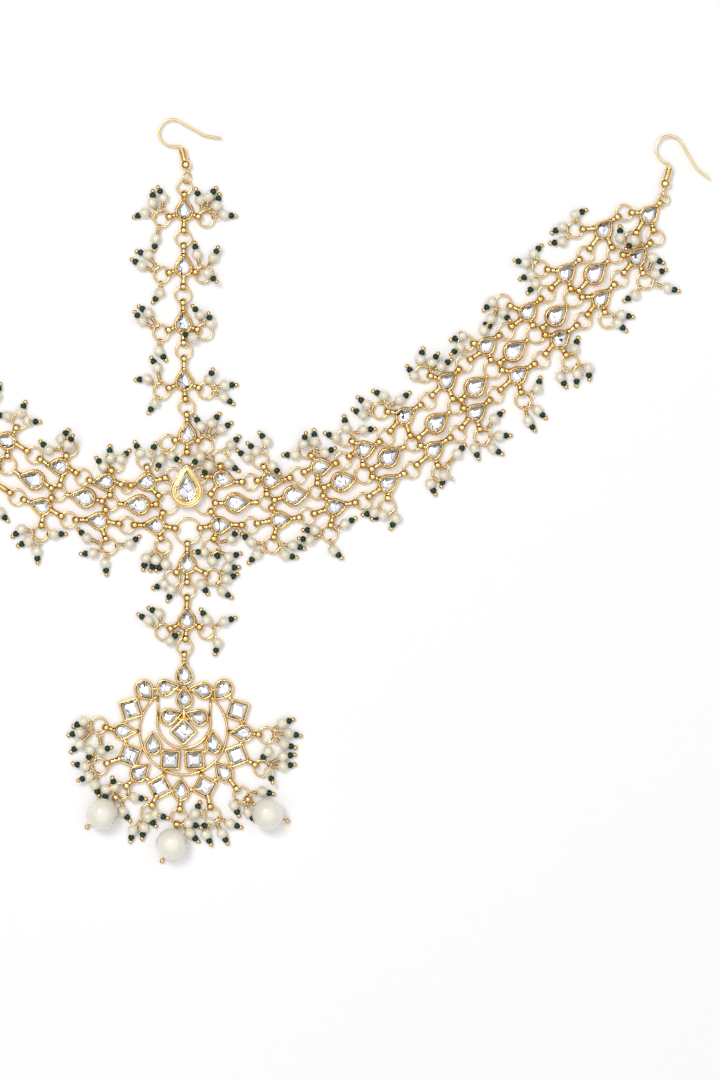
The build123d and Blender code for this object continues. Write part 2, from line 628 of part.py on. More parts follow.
def make_big_pearl(tassel, pearl_across, pearl_down, ball_across, ball_down):
    """A large pearl on its ball pin, with an eye round the tassel's ring."""
    across, down, _ = tassel
    pearl = place(pearl_across, pearl_down, BIG_PEARL_RADIUS)
    ball = place(ball_across, ball_down, BIG_PIN_BALL_RADIUS)
    eye, _ = make_lug(pearl, (across, down, RING_RADIUS))
    middle = place(across, down, LINK_Z)
    way = Vector(pearl.X - middle.X, pearl.Y - middle.Y).normalized()
    neck = make_rod(middle + way * (RING_RADIUS + EYE_RADIUS), pearl, NECK_RADIUS)
    with BuildPart() as big:
        with Locations(pearl):
            Sphere(BIG_PEARL_RADIUS)
        with Locations(ball):
            Sphere(BIG_PIN_BALL_RADIUS)
        add([eye, neck, make_rod(pearl, ball, PIN_RADIUS)])
    return big.part


def make_arm_row(body, units, rings, first_ring, end_ring, junctions, tassels, inner_side, outer_side):
    """The settings of an arm's top or bottom row, each linked to four rings where it has them."""
    tails = [first_ring] + rings
    tips = rings + [end_ring]
    row = []
    for index, unit in enumerate(units):
        across, down, _ = tassels[index]
        links = [(0, tips[index]), (180, tails[index]), (outer_side, (across, down, RING_RADIUS))]
        if index < len(junctions):
            links.append((inner_side, junctions[index]))
        row.append(make_setting(body, unit, links))
    return row


def make_top_row(body, units, rings, first_ring, hook_ring, end_ring, junctions, tassels, turn):
    """The top row, whose last setting turns its tail to a tassel and its sides to the rows."""
    inner = make_arm_row(
        body, units[:-1], rings[:-1], first_ring, rings[-1], junctions, tassels, -turn, turn
    )
    across, down, _ = tassels[-1]
    links = [(0, hook_ring), (180, (across, down, RING_RADIUS)), (turn, rings[-1]), (-turn, end_ring)]
    return inner + [make_setting(body, units[-1], links)]


def make_row_stones(units, radius, reach, height):
    """The stones of a row of settings of one size."""
    seat = height - POCKET_DEPTH + STONE_CLEARANCE
    stone = make_drop_stone(radius - RIM, reach - TIP_SHARE * RIM, seat)
    return [
        stone.moved(Location(place(across, down), (0, 0, heading))) for across, down, heading in units
    ]


def make_centrepiece():
    """The raised centrepiece: a double-rimmed drop on a foot, with lugs to the five rings about it."""
    top = Plane(origin=place(*CENTREPIECE_PLACE), x_dir=(0, 1, 0), z_dir=(0, 0, 1))
    with BuildPart() as body:
        with BuildSketch(top.offset(CENTREPIECE_UNDERSIDE)):
            add(teardrop(CENTREPIECE_RADIUS, CENTREPIECE_REACH))
        extrude(amount=CENTREPIECE_RIM_TOP - CENTREPIECE_UNDERSIDE)
        chamfer(body.edges().group_by(Axis.Z)[-1], length=RIM_CHAMFER)
        with BuildSketch(top.offset(CENTREPIECE_GROOVE_FLOOR)):
            add(teardrop(CENTREPIECE_RADIUS - RIM, CENTREPIECE_REACH - TIP_SHARE * RIM))
        extrude(amount=CENTREPIECE_TOP, mode=Mode.SUBTRACT)
        with BuildSketch(top.offset(CENTREPIECE_GROOVE_FLOOR)):
            add(teardrop(CENTREPIECE_INNER_RADIUS, CENTREPIECE_INNER_REACH))
        extrude(amount=CENTREPIECE_TOP - CENTREPIECE_GROOVE_FLOOR)
        chamfer(body.edges().group_by(Axis.Z)[-1], length=RIM_CHAMFER)
        with BuildSketch(top.offset(CENTREPIECE_TOP - POCKET_DEPTH)):
            add(teardrop(CENTREPIECE_STONE_RADIUS, CENTREPIECE_STONE_REACH))
        extrude(amount=2 * POCKET_DEPTH, mode=Mode.SUBTRACT)
        with BuildSketch(Plane(origin=place(*FOOT_PLACE))):
            Ellipse(FOOT_HALF_WIDTH, FOOT_HALF_LENGTH)
        extrude(amount=CENTREPIECE_UNDERSIDE + 0.2)
    lugs = []
    foot = place(*FOOT_PLACE)
    around = [CENTRE_RINGS[5], UPPER_RIGHT_RING, UPPER_LEFT_RING, RIGHT_JUNCTIONS[0], LEFT_JUNCTIONS[0]]
    for ring in around:
        lugs += make_lug(foot, ring)
    with BuildPart() as centrepiece:
        add([body.part] + lugs)
    return centrepiece.part


def bezel_sizes(radius, reach):
    """Radius and reach of the pocket, then of the bezel, about a drop stone of the pendant."""
    pocket = (radius + STONE_CLEARANCE, reach + 2 * STONE_CLEARANCE)
    return pocket, (pocket[0] + FRAME_RIM, pocket[1] + 1.45 * FRAME_RIM)


def make_bezel(outline):
    """A bezel block of the pendant, solid, with a bevelled rim."""
    with BuildPart() as bezel:
        with BuildSketch():
            add(outline)
        extrude(amount=FRAME_HEIGHT)
        chamfer(bezel.edges().group_by(Axis.Z)[-1], length=RIM_CHAMFER)
    return bezel.part


def make_pocket(outline):
    """The tool that clears the pocket of a bezel."""
    with BuildPart() as pocket:
        with BuildSketch(Plane.XY.offset(FRAME_POCKET_FLOOR)):
            add(outline)
        extrude(amount=2 * FRAME_HEIGHT)
    return pocket.part


def square(side):
    """A square about the origin."""
    with BuildSketch() as outline:
        Rectangle(side, side)
    return outline.sketch


def make_circle_wire(across, down, radius, start, sweep_angle):
    """A round wire bent to part of a circle, level with the frame."""
    middle = place(across, down, FRAME_HEIGHT / 2)
    with BuildPart() as wire:
        with BuildLine() as path:
            CenterArc(middle, radius, start, sweep_angle)
        with BuildSketch(Plane(origin=path.line @ 0, z_dir=path.line % 0)):
            Circle(FRAME_WIRE / 2)
        sweep()
    return wire.part


def make_pendant_frame():
    """The pierced pendant: bezels, their bars, the crescent's two wires, lugs and bail."""
    blocks = []
    pockets = []
    for across, down, heading, radius, reach in PENDANT_DROPS:
        pocket, bezel = bezel_sizes(radius, reach)
        spot = Location(place(across, down), (0, 0, heading))
        blocks.append(make_bezel(teardrop(*bezel)).moved(spot))
        pockets.append(make_pocket(teardrop(*pocket)).moved(spot))
    for across, down, turn, side in PENDANT_SQUARES:
        opening = side + 2 * STONE_CLEARANCE
        spot = Location(place(across, down), (0, 0, turn))
        blocks.append(make_bezel(square(opening + 2 * FRAME_RIM)).moved(spot))
        pockets.append(make_pocket(square(opening)).moved(spot))
    for start_across, start_down, end_across, end_down in FRAME_BARS:
        start = place(start_across, start_down, FRAME_POCKET_FLOOR)
        end = place(end_across, end_down, FRAME_POCKET_FLOOR)
        blocks.append(make_rod(start, end, FRAME_POCKET_FLOOR - BAR_CLEARANCE))
    blocks.append(make_circle_wire(*OUTER_CIRCLE))
    blocks.append(make_circle_wire(*INNER_CIRCLE))
    for root, (across, down, _) in zip(PENDANT_LUG_ROOTS, PENDANT_TASSELS):
        blocks += make_lug(place(*root), (across, down, RING_RADIUS))
    blocks += make_lug(place(*PENDANT_BAIL_FROM), PENDANT_RING)
    with BuildPart() as frame:
        add(blocks)
        add(pockets, mode=Mode.SUBTRACT)
    return frame.part


def make_pendant_stones():
    """The stones of the pendant, each a little clear of its pocket."""
    seat = FRAME_POCKET_FLOOR + STONE_CLEARANCE
    stones = []
    for across, down, heading, radius, reach in PENDANT_DROPS:
        stone = make_drop_stone(radius + STONE_CLEARANCE, reach + 2 * STONE_CLEARANCE, seat)
        stones.append(stone.moved(Location(place(across, down), (0, 0, heading))))
    for across, down, turn, side in PENDANT_SQUARES:
        stone = make_stone(square_corners(side), square_corners(side, TABLE_SHARE), seat)
        stones.append(stone.moved(Location(place(across, down), (0, 0, turn))))
    return stones


def hook_corners(side):
    """Corners of the hook's wire from its free end to the bead, side -1 for the mirror image."""
    middle_x, middle_y = HOOK_BEND_MIDDLE
    step = HOOK_BEND_TURN / HOOK_BEND_CORNERS
    reach = HOOK_BEND_RADIUS / cos(radians(step / 2))
    corners = [HOOK_TIP, HOOK_TIP_BEND]
    for index in range(HOOK_BEND_CORNERS):
        angle = radians(HOOK_BEND_START + step * (index + 0.5))
        corners.append((middle_x + reach * cos(angle), middle_y + reach * sin(angle)))
    corners += [HOOK_SHOULDER, HOOK_SHANK_END]
    return [(side * x, y) for x, y in corners]


def make_hook_wire(hook, side, loop):
    """The bent wire from its free end through the bead to the loop, whose pieces are given."""
    across, down, heading = hook
    radii = [HOOK_TIP_BEND_RADIUS] + [HOOK_BEND_RADIUS] * HOOK_BEND_CORNERS + [HOOK_SHOULDER_RADIUS]
    spot = Location(place(across, down, HOOK_Z), (0, 0, heading - 90))
    with BuildPart() as bend:
        with BuildLine() as path:
            FilletPolyline(*hook_corners(side), radius=radii)
        with BuildSketch(Plane(origin=path.line @ 0, z_dir=path.line % 0)):
            Circle(HOOK_WIRE)
        sweep()
    with BuildPart() as wire:
        add([bend.part.moved(spot)] + loop)
    return wire.part


def shank_end(hook):
    """Where the straight shank of a hook ends, below its bead."""
    across, down, heading = hook
    angle = radians(heading)
    return place(across, down, HOOK_Z) + Vector(cos(angle), sin(angle)) * HOOK_SHANK_END[1]


def make_joint(point, radius):
    """A small ball that rounds off the corner between two wires."""
    with BuildPart() as joint:
        with Locations(point):
            Sphere(radius)
    return joint.part


def make_side_loop(hook, ring):
    """The small upright eye below an arm hook's bead, round the ring's wire."""
    across, down, radius = ring
    end = shank_end(hook)
    middle = place(across, down, LINK_Z)
    heading = flat_heading(middle, end)
    way = Vector(cos(radians(heading)), sin(radians(heading)))
    eye = middle + way * radius
    spot = Location(eye, (0, 0, heading)) * Location((0, 0, 0), (90, 0, 0))
    return [make_torus(spot, HOOK_EYE_RADIUS, HOOK_WIRE), make_joint(end, HOOK_JOINT)]


def make_centre_loop():
    """The larger loop below the centre hook's bead, tilted so that the first ring passes through it."""
    across, down, _ = CENTRE_RINGS[0]
    end = shank_end(CENTRE_HOOK)
    middle = place(*HOOK_LOOP_PLACE, HOOK_LOOP_Z)
    heading = flat_heading(place(across, down), middle)
    way = Vector(cos(radians(heading)), sin(radians(heading)))
    spot = Location(middle, (0, 0, heading)) * Location((0, 0, 0), (HOOK_LOOP_TILT, 0, 0))
    torus = make_torus(spot, HOOK_LOOP_RADIUS, HOOK_LOOP_WIRE)
    top = middle + way * HOOK_LOOP_RADIUS
    return [torus, make_joint(end, HOOK_JOINT), make_rod(end, top, HOOK_WIRE)]


def make_hook_trim(hook):
    """The round bead and the wound coil on a hook's shank, with a bore for the wire."""
    across, down, heading = hook
    turn = HOOK_COIL_LENGTH / HOOK_COIL_TURNS
    coil_end = HOOK_COIL_START + HOOK_COIL_LENGTH
    groove = HOOK_COIL_RADIUS - HOOK_COIL_RIDGE
    with BuildPart() as trim:
        Sphere(HOOK_BEAD_RADIUS)
        with BuildSketch():
            with BuildLine():
                Line((0, HOOK_COIL_START), (groove, HOOK_COIL_START))
                for index in range(HOOK_COIL_TURNS):
                    low = HOOK_COIL_START + turn * index
                    crest = (HOOK_COIL_RADIUS, low + turn / 2)
                    ThreePointArc((groove, low), crest, (groove, low + turn))
                Line((groove, coil_end), (0, coil_end))
                Line((0, coil_end), (0, HOOK_COIL_START))
            make_face()
        revolve(axis=Axis.Y)
        with BuildSketch(Plane.XZ.offset(-2 * coil_end)):
            Circle(HOOK_BORE)
        extrude(amount=4 * coil_end, mode=Mode.SUBTRACT)
    return trim.part.moved(Location(place(across, down, HOOK_Z), (0, 0, heading - 90)))


def write_part(name, solids):
    """Writes one sub-part, of one solid or several loose ones."""
    with BuildPart() as piece:
        add(solids)
    piece.part.label = name
    export_step(piece.part, f"parts/{name}.step")
    print(name, len(piece.part.solids()), "solids")


SETTING_BODY = make_body(SETTING_RADIUS, SETTING_REACH, SETTING_HEIGHT, FLANGE_HEIGHT)
MIDDLE_BODY = make_body(MIDDLE_RADIUS, MIDDLE_REACH, MIDDLE_HEIGHT, MIDDLE_FLANGE_HEIGHT)

# Centre line
centre_links = []
for index, unit in enumerate(CENTRE_UNITS):
    left_tassel = CENTRE_TASSELS[2 * index]
    right_tassel = CENTRE_TASSELS[2 * index + 1]
    links = [
        (0, CENTRE_RINGS[index]), (180, CENTRE_RINGS[index + 1]),
        (SIDE_ANGLE, (left_tassel[0], left_tassel[1], RING_RADIUS)),
        (-SIDE_ANGLE, (right_tassel[0], right_tassel[1], RING_RADIUS)),
    ]
    write_part(f"centre_setting_{index + 1}", [make_setting(SETTING_BODY, unit, links)])
for index, stone in enumerate(make_row_stones(CENTRE_UNITS, SETTING_RADIUS, SETTING_REACH, SETTING_HEIGHT)):
    write_part(f"centre_stone_{index + 1}", [stone])
for index, ring in enumerate(CENTRE_RINGS):
    write_part(f"centre_ring_{index}", [make_ring(*ring)])
write_part("centre_tassels", [make_tassel(*tassel) for tassel in CENTRE_TASSELS])

# Centrepiece and the rings about it
write_part("centrepiece_setting", [make_centrepiece()])
centrepiece_stone = make_drop_stone(
    CENTREPIECE_STONE_RADIUS, CENTREPIECE_STONE_REACH, CENTREPIECE_TOP - POCKET_DEPTH + STONE_CLEARANCE
)
write_part("centrepiece_stone", [centrepiece_stone.moved(Location(place(*CENTREPIECE_PLACE), (0, 0, 90)))])
write_part("upper_right_ring", [make_ring(*UPPER_RIGHT_RING)])
write_part("upper_left_ring", [make_ring(*UPPER_LEFT_RING)])
write_part("right_junction_ring", [make_ring(*RIGHT_JUNCTIONS[0])])
write_part("left_junction_ring", [make_ring(*LEFT_JUNCTIONS[0])])
write_part("bottom_ring", [make_ring(*BOTTOM_RING)])

# Tikka line below the arms
tikka_rings = [BOTTOM_RING, TIKKA_RING, PENDANT_RING]
for index, unit in enumerate(TIKKA_UNITS):
    left_tassel = TIKKA_TASSELS[2 * index]
    right_tassel = TIKKA_TASSELS[2 * index + 1]
    links = [
        (0, tikka_rings[index]), (180, tikka_rings[index + 1]),
        (SIDE_ANGLE, (left_tassel[0], left_tassel[1], RING_RADIUS)),
        (-SIDE_ANGLE, (right_tassel[0], right_tassel[1], RING_RADIUS)),
    ]
    write_part(f"tikka_setting_{index + 1}", [make_setting(SETTING_BODY, unit, links)])
for index, stone in enumerate(make_row_stones(TIKKA_UNITS, SETTING_RADIUS, SETTING_REACH, SETTING_HEIGHT)):
    write_part(f"tikka_stone_{index + 1}", [stone])
write_part("tikka_ring_1", [make_ring(*TIKKA_RING)])
write_part("pendant_ring", [make_ring(*PENDANT_RING)])
for index, tassel in enumerate(TIKKA_TASSELS):
    write_part(f"tikka_tassel_{index + 1}", [make_tassel(*tassel)])

# Pendant
write_part("pendant_frame", [make_pendant_frame()])
write_part("pendant_stones", make_pendant_stones())
write_part("pendant_tassels", [make_tassel(*tassel) for tassel in PENDANT_TASSELS])
for index, (tassel_index, *big_pearl) in enumerate(BIG_PEARLS):
    write_part(f"big_pearl_{index + 1}", [make_big_pearl(PENDANT_TASSELS[tassel_index], *big_pearl)])

# Arms
ARMS = [
    (
        "right", SIDE_ANGLE, UPPER_RIGHT_RING, RIGHT_HOOK_RING, RIGHT_END_RING, RIGHT_JUNCTIONS,
        RIGHT_TOP, RIGHT_TOP_RINGS, RIGHT_TOP_TASSELS,
        RIGHT_MIDDLE, RIGHT_BOTTOM, RIGHT_BOTTOM_RINGS, RIGHT_BOTTOM_TASSELS,
    ),
    (
        "left", -SIDE_ANGLE, UPPER_LEFT_RING, LEFT_HOOK_RING, LEFT_END_RING, LEFT_JUNCTIONS,
        LEFT_TOP, LEFT_TOP_RINGS, LEFT_TOP_TASSELS,
        LEFT_MIDDLE, LEFT_BOTTOM, LEFT_BOTTOM_RINGS, LEFT_BOTTOM_TASSELS,
    ),
]
for (
    arm, turn, first_ring, hook_ring, end_ring, junctions, top, top_rings, top_tassels,
    middle, bottom, bottom_rings, bottom_tassels,
) in ARMS:
    top_row = make_top_row(
        SETTING_BODY, top, top_rings, first_ring, hook_ring, end_ring, junctions, top_tassels, turn
    )
    write_part(f"{arm}_top_settings", top_row)
    middle_row = [
        make_middle_setting(MIDDLE_BODY, unit, junctions[index], junctions[index + 1])
        for index, unit in enumerate(middle)
    ]
    write_part(f"{arm}_middle_settings", middle_row)
    bottom_row = make_arm_row(
        SETTING_BODY, bottom, bottom_rings, BOTTOM_RING, end_ring, junctions, bottom_tassels, turn, -turn
    )
    write_part(f"{arm}_bottom_settings", bottom_row)
    stones = make_row_stones(top + bottom, SETTING_RADIUS, SETTING_REACH, SETTING_HEIGHT)
    stones += make_row_stones(middle, MIDDLE_RADIUS, MIDDLE_REACH, MIDDLE_HEIGHT)
    write_part(f"{arm}_arm_stones", stones)
    links = [make_ring(*ring) for ring in top_rings + bottom_rings + [end_ring, hook_ring]]
    write_part(f"{arm}_arm_links", links)
    write_part(f"{arm}_top_tassels", [make_tassel(*tassel) for tassel in top_tassels])
    write_part(f"{arm}_bottom_tassels", [make_tassel(*tassel) for tassel in bottom_tassels])

# Hooks
write_part("centre_hook", [make_hook_wire(CENTRE_HOOK, 1, make_centre_loop())])
write_part("right_hook", [make_hook_wire(RIGHT_HOOK, 1, make_side_loop(RIGHT_HOOK, RIGHT_HOOK_RING))])
write_part("left_hook", [make_hook_wire(LEFT_HOOK, -1, make_side_loop(LEFT_HOOK, LEFT_HOOK_RING))])
write_part("centre_hook_coil", [make_hook_trim(CENTRE_HOOK)])
write_part("right_hook_coil", [make_hook_trim(RIGHT_HOOK)])
write_part("left_hook_coil", [make_hook_trim(LEFT_HOOK)])
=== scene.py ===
from math import atan2, cos, degrees, hypot, pi, radians, sin, tau

import bmesh
import bpy
import numpy as np
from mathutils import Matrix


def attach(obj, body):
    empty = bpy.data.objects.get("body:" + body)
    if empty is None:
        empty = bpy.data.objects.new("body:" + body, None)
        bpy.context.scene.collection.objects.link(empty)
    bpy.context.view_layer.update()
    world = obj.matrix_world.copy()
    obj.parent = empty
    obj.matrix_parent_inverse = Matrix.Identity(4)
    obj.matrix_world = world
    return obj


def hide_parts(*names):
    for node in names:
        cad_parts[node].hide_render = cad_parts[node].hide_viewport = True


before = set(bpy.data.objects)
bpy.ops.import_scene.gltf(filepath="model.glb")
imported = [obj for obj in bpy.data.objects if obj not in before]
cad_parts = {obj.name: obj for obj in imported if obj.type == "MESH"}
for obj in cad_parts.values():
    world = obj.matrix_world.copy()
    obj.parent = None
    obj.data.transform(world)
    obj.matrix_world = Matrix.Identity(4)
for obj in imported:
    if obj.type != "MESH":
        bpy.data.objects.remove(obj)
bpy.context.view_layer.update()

# A head ornament of linked drop settings, laid flat with its stones up.
# Sizes and places are millimetres; MM turns them into Blender's metres.
MM = 0.001

# Links
LINK_Z = 1.5
RING_WIRE = 0.36
RING_RADIUS = 2.55
EYE_RADIUS = 0.95
EYE_WALL = 0.55
EYE_HALF_WIDTH = 1.05

# Settings: radius of the round back and reach of the tip
SETTING_RADIUS = 3.15
SETTING_REACH = 5.0
MIDDLE_RADIUS = 3.5
MIDDLE_REACH = 5.7
FLANK_TURN = radians(60)
TIP_SHARE = 1.2
ROOT_DEPTH = 3.75
MIDDLE_ROOT_DEPTH = 4.45
SIDE_ANGLE = 112
RIM = 0.85

# Rim profiles, as (inset from the outline, height) from the underside's middle to the pocket's middle
POLE = 99.0
SETTING_PROFILE = [
    (POLE, 0), (0.4, 0), (0.12, 0.1), (0, 0.35), (0, 0.75), (0.1, 0.98), (0.27, 1.08), (0.3, 1.3), (0.27, 1.8),
    (0.34, 2.1), (0.5, 2.26), (0.64, 2.26), (0.78, 2.12), (0.85, 1.9), (0.87, 1.2), (0.95, 1.12), (POLE, 1.12),
]
MIDDLE_PROFILE = [
    (POLE, 0), (0.4, 0), (0.12, 0.1), (0, 0.4), (0, 1.7), (0.1, 1.98), (0.27, 2.1), (0.3, 2.5), (0.27, 3.1),
    (0.34, 3.4), (0.5, 3.56), (0.64, 3.56), (0.78, 3.42), (0.85, 3.2), (0.87, 2.5), (0.95, 2.42), (POLE, 2.42),
]
CENTREPIECE_PROFILE = [
    (POLE, 2.4), (0.5, 2.4), (0.15, 2.5), (0, 2.8), (0, 3.5), (0.08, 3.8), (0.25, 3.95), (0.42, 3.9),
    (0.6, 3.6), (0.85, 3.27), (1.1, 3.2), (1.25, 3.32), (1.3, 3.8), (1.32, 4.5), (1.4, 4.85), (1.55, 5.0),
    (1.7, 4.98), (1.85, 4.8), (2.1, 4.45), (2.3, 4.15), (2.36, 3.82), (POLE, 3.82),
]
BEZEL_PROFILE = [
    (POLE, 0), (0.35, 0), (0.1, 0.1), (0, 0.35), (0, 1.5), (0.08, 1.8), (0.25, 1.98), (0.45, 2.0),
    (0.62, 1.88), (0.72, 1.65), (0.75, 0.9), (0.85, 0.82), (POLE, 0.82),
]

# Cut stones: (inset, rise above the seat) from the back's middle to the table's middle
STONE_PROFILE = [
    (POLE, 0), (0, 0), (0, 0.6), (0.22, 0.85), (0.8, 1.14), (0.87, 1.23), (1.35, 1.37), (POLE, 1.44),
]
SETTING_STONE_SEAT = 1.22
MIDDLE_STONE_SEAT = 2.52
CENTREPIECE_STONE_SEAT = 3.92
PENDANT_STONE_SEAT = 0.92
STONE_CLEARANCE = 0.12

# Centrepiece
CENTREPIECE_RADIUS = 5.36
CENTREPIECE_REACH = 8.64
CENTREPIECE_STONE = (2.98, 5.6)
FOOT_HALF_WIDTH = 1.9
FOOT_HALF_LENGTH = 3.2

# Tassel drops
PEARL_RADIUS = 1.7
BALL_AT = 3.9
BALL_RADIUS = 0.8
BEAD_AT = 2.45
PIN_WIRE = 0.25
LOOP_RADIUS = 1.05
WRAP_RADIUS = 0.48
BALL_REST_Z = 0.75
STEEPEST_DROP = 35
FULL_RUN = 0.92 * BALL_AT
BIG_PEARL_RADIUS = 5.0
BIG_BALL_RADIUS = 0.8

# Pendant
FRAME_RIM = 0.75
BAR_RADIUS = 0.72
BAR_Z = 0.8
CIRCLE_WIRE = 0.4
CIRCLE_Z = 1.0
PENDANT_TIP = 0.45

# Hooks
HOOK_Z = 1.76
HOOK_BEAD_RADIUS = 1.76
COIL_RADIUS = 0.92
COIL_WIRE = 0.33
COIL_START = 1.75
COIL_END = 5.1
COIL_TURNS = 5.5

# Choice of a lug's ring, merging, floor, light and camera (metres for the last three)
LUG_REACH = 4.2
LEAST_ROLL = 15
WIDEST_ROLL = 60
MERGE = 1e-7
FLOOR_Z = -0.0001
FLOOR_HALF = 3.0
WORLD_STRENGTH = 1.0
CARD_WAY = (-0.40, 0.62, 0.675)
CAMERA_X = 0.05536
CAMERA_Y = -0.01728
CAMERA_Z = 1.6
VIEW_HEIGHT = 0.3456

# Units of each row: across, up, heading of the tip in degrees
CENTRE_UNITS = [
    (-0.8, 87.68, 90), (-0.96, 69.76, 90), (-1.12, 51.68, 90), (-0.8, 33.28, 90), (0.16, 16.16, 90),
]
TIKKA_UNITS = [
    (0.13, -25.28, 90), (0, -43.2, 90),
]
RIGHT_TOP = [
    (11.2, 2.24, -14), (26.56, 1.92, -2), (42.4, 6.08, 10), (56.32, 11.52, 20), (69.44, 22.08, 38),
    (82.88, 33.28, 42), (95.68, 44.48, 45), (108.8, 55.36, 48), (120.96, 67.84, 48),
    (133.12, 81.6, 52), (147.52, 86.4, 47),
]
RIGHT_MIDDLE = [
    (15.36, -5.44, 2), (33.92, -3.2, 10), (49.28, 1.28, 12), (64.32, 8.96, 38), (79.36, 19.84, 38),
    (91.84, 31.36, 40), (104.32, 42.88, 40), (117.76, 54.08, 42), (130.08, 67.52, 45),
]
RIGHT_BOTTOM = [
    (10.24, -12.64, 3), (29.44, -10.88, 5), (47.04, -6.88, 15), (64, 0.64, 35), (78.72, 11.2, 42),
    (92.16, 23.2, 40), (105.6, 35.2, 35), (119.04, 46.72, 40), (132.16, 59.52, 45),
    (143.78, 72.9, 48.5),
]
LEFT_TOP_SHOWN = [
    (-12.64, 1.28, 190), (-25.6, 1.28, 184), (-40.32, 6.08, 172),
]
LEFT_MIDDLE_SHOWN = [
    (-15.04, -6.08, 178), (-32.32, -3.84, 170), (-48.64, 1.92, 165),
]
LEFT_BOTTOM_SHOWN = [
    (-9.5, -12.74, 176.5), (-27.84, -11.2, 174), (-46.08, -6.72, 160),
]
RIGHT_JUNCTIONS = [
    (5.76, -5.44, 3.5), (25.6, -5.12, 2.55), (41.6, -1.6, 2.55), (56.64, 3.84, 2.95),
    (72.32, 13.76, 2.55), (86.08, 25.6, 2.55), (97.92, 37.44, 2.95), (111.68, 48.64, 2.95),
    (123.52, 60.16, 2.95), (136.96, 73.92, 2.55),
]
RIGHT_TOP_RINGS = [
    (20.16, 1.28, 2.55), (35.36, 3.36, 2.55), (49.92, 8.16, 2.55), (63.52, 15.68, 2.55),
    (76.8, 27.2, 2.55), (88.64, 39.04, 2.55), (101.92, 49.44, 2.55), (114.88, 61.44, 2.55),
    (127.36, 73.92, 2.55), (139.84, 87.36, 2.55),
]
RIGHT_BOTTOM_RINGS = [
    (20.16, -12.48, 2.55), (38.4, -9.6, 2.55), (56.32, -4.8, 2.55), (71.68, 5.12, 2.55),
    (86.4, 16.64, 2.55), (98.56, 29.12, 2.55), (113.28, 40.32, 2.55), (126.72, 52.8, 2.55),
    (138.24, 66.24, 2.55),
]
LEFT_JUNCTIONS_SHOWN = [
    (-6.4, -5.44, 3.5), (-24.64, -5.44, 2.55), (-41.28, -2.24, 2.55),
]
LEFT_TOP_RINGS_SHOWN = [
    (-19.52, -0.32, 1.75), (-33.28, 2.88, 2.55), (-48.96, 9.92, 2.55),
]
LEFT_BOTTOM_RINGS_SHOWN = [
    (-19.2, -12.48, 2.55), (-37.92, -10.88, 2.55), (-54.4, -3.52, 2.55),
]
CENTRE_RINGS = [
    (-0.8, 95.52, 2.4), (-1.12, 79.2, 2.55), (-1.28, 61.12, 2.55), (-0.96, 43.2, 2.55),
    (-0.16, 25.28, 2.55), (0, 8.32, 2.55),
]
RIGHT_END_RING = (149.92, 79.36, 2.55)
RIGHT_HOOK_RING = (152.32, 91.68, 1.75)
UPPER_RIGHT_RING = (4, 3.36, 2.55)
UPPER_LEFT_RING = (-4.48, 3.2, 2.55)
BOTTOM_RING = (0.32, -14.4, 4.15)
TIKKA_RING = (0.13, -33.28, 2.55)
PENDANT_RING = (-0.8, -51.36, 2.55)
RIGHT_TOP_TASSELS = [
    (10.56, 8.8, [
        (14.08, 13.12, 16.96, 16), (13.44, 7.04, 16.64, 4.8), (7.04, 6.4, 5.12, 3.2, 2.5),
        (4.16, 9.34, 1.86, 6.66, 1.5),
    ]),
    (23.36, 8.32, [
        (25.6, 14.08, 23.04, 17.28), (22.08, 11.2, 19.52, 13.6), (19.2, 8.96, 16.32, 11.2),
        (27.52, 6.4, 29.76, 3.84, 1.9),
    ]),
    (38.08, 11.52, [
        (37.12, 13.44, 38.08, 16.8, 1), (40.96, 14.08, 40.64, 17.92), (44.16, 10.56, 47.36, 12),
        (34.56, 9.92, 30.72, 9.92),
    ]),
    (50.56, 15.36, [
        (50.88, 18.56, 50.24, 22.4), (56.32, 17.92, 60.32, 18.24), (47.68, 15.36, 43.68, 17.12),
    ]),
    (61.76, 24, [
        (63.04, 28.8, 59.04, 30.56), (57.6, 25.92, 54.72, 28.32), (56.32, 22.72, 52.8, 24.64),
        (68.16, 27.52, 71.36, 29.92),
    ]),
    (75.52, 35.84, [
        (74.56, 40.32, 75.52, 44), (78.4, 39.68, 80.32, 42.24), (72.64, 35.2, 70.4, 38.4),
        (81.44, 38.24, 84.48, 40.32),
    ]),
    (89.28, 45.6, [(88, 48, 83.84, 46.4), (87.2, 44.32, 84.48, 42.08)]),
    (101.12, 58.56, [
        (97.6, 58.88, 94.72, 56), (97.12, 53.44, 94.08, 49.92), (101.12, 55.2, 102.72, 53.28),
        (94.88, 49.76, 97.92, 52.16),
    ]),
    (112.96, 69.44, [
        (110.72, 74.24, 113.28, 76.8), (108.16, 71.36, 104.64, 72), (110.08, 67.52, 106.24, 66.08),
        (111.36, 64.64, 108.8, 61.44),
    ]),
    (124.16, 81.92, [
        (124.16, 86.72, 127.84, 88.32), (120, 82.88, 116.16, 80.64), (120, 78.08, 115.84, 77.6),
    ]),
    (142.4, 78.72, [(143.04, 78.4, 140.16, 75.52, 2), (138.56, 79.2, 138.56, 83.2)]),
]
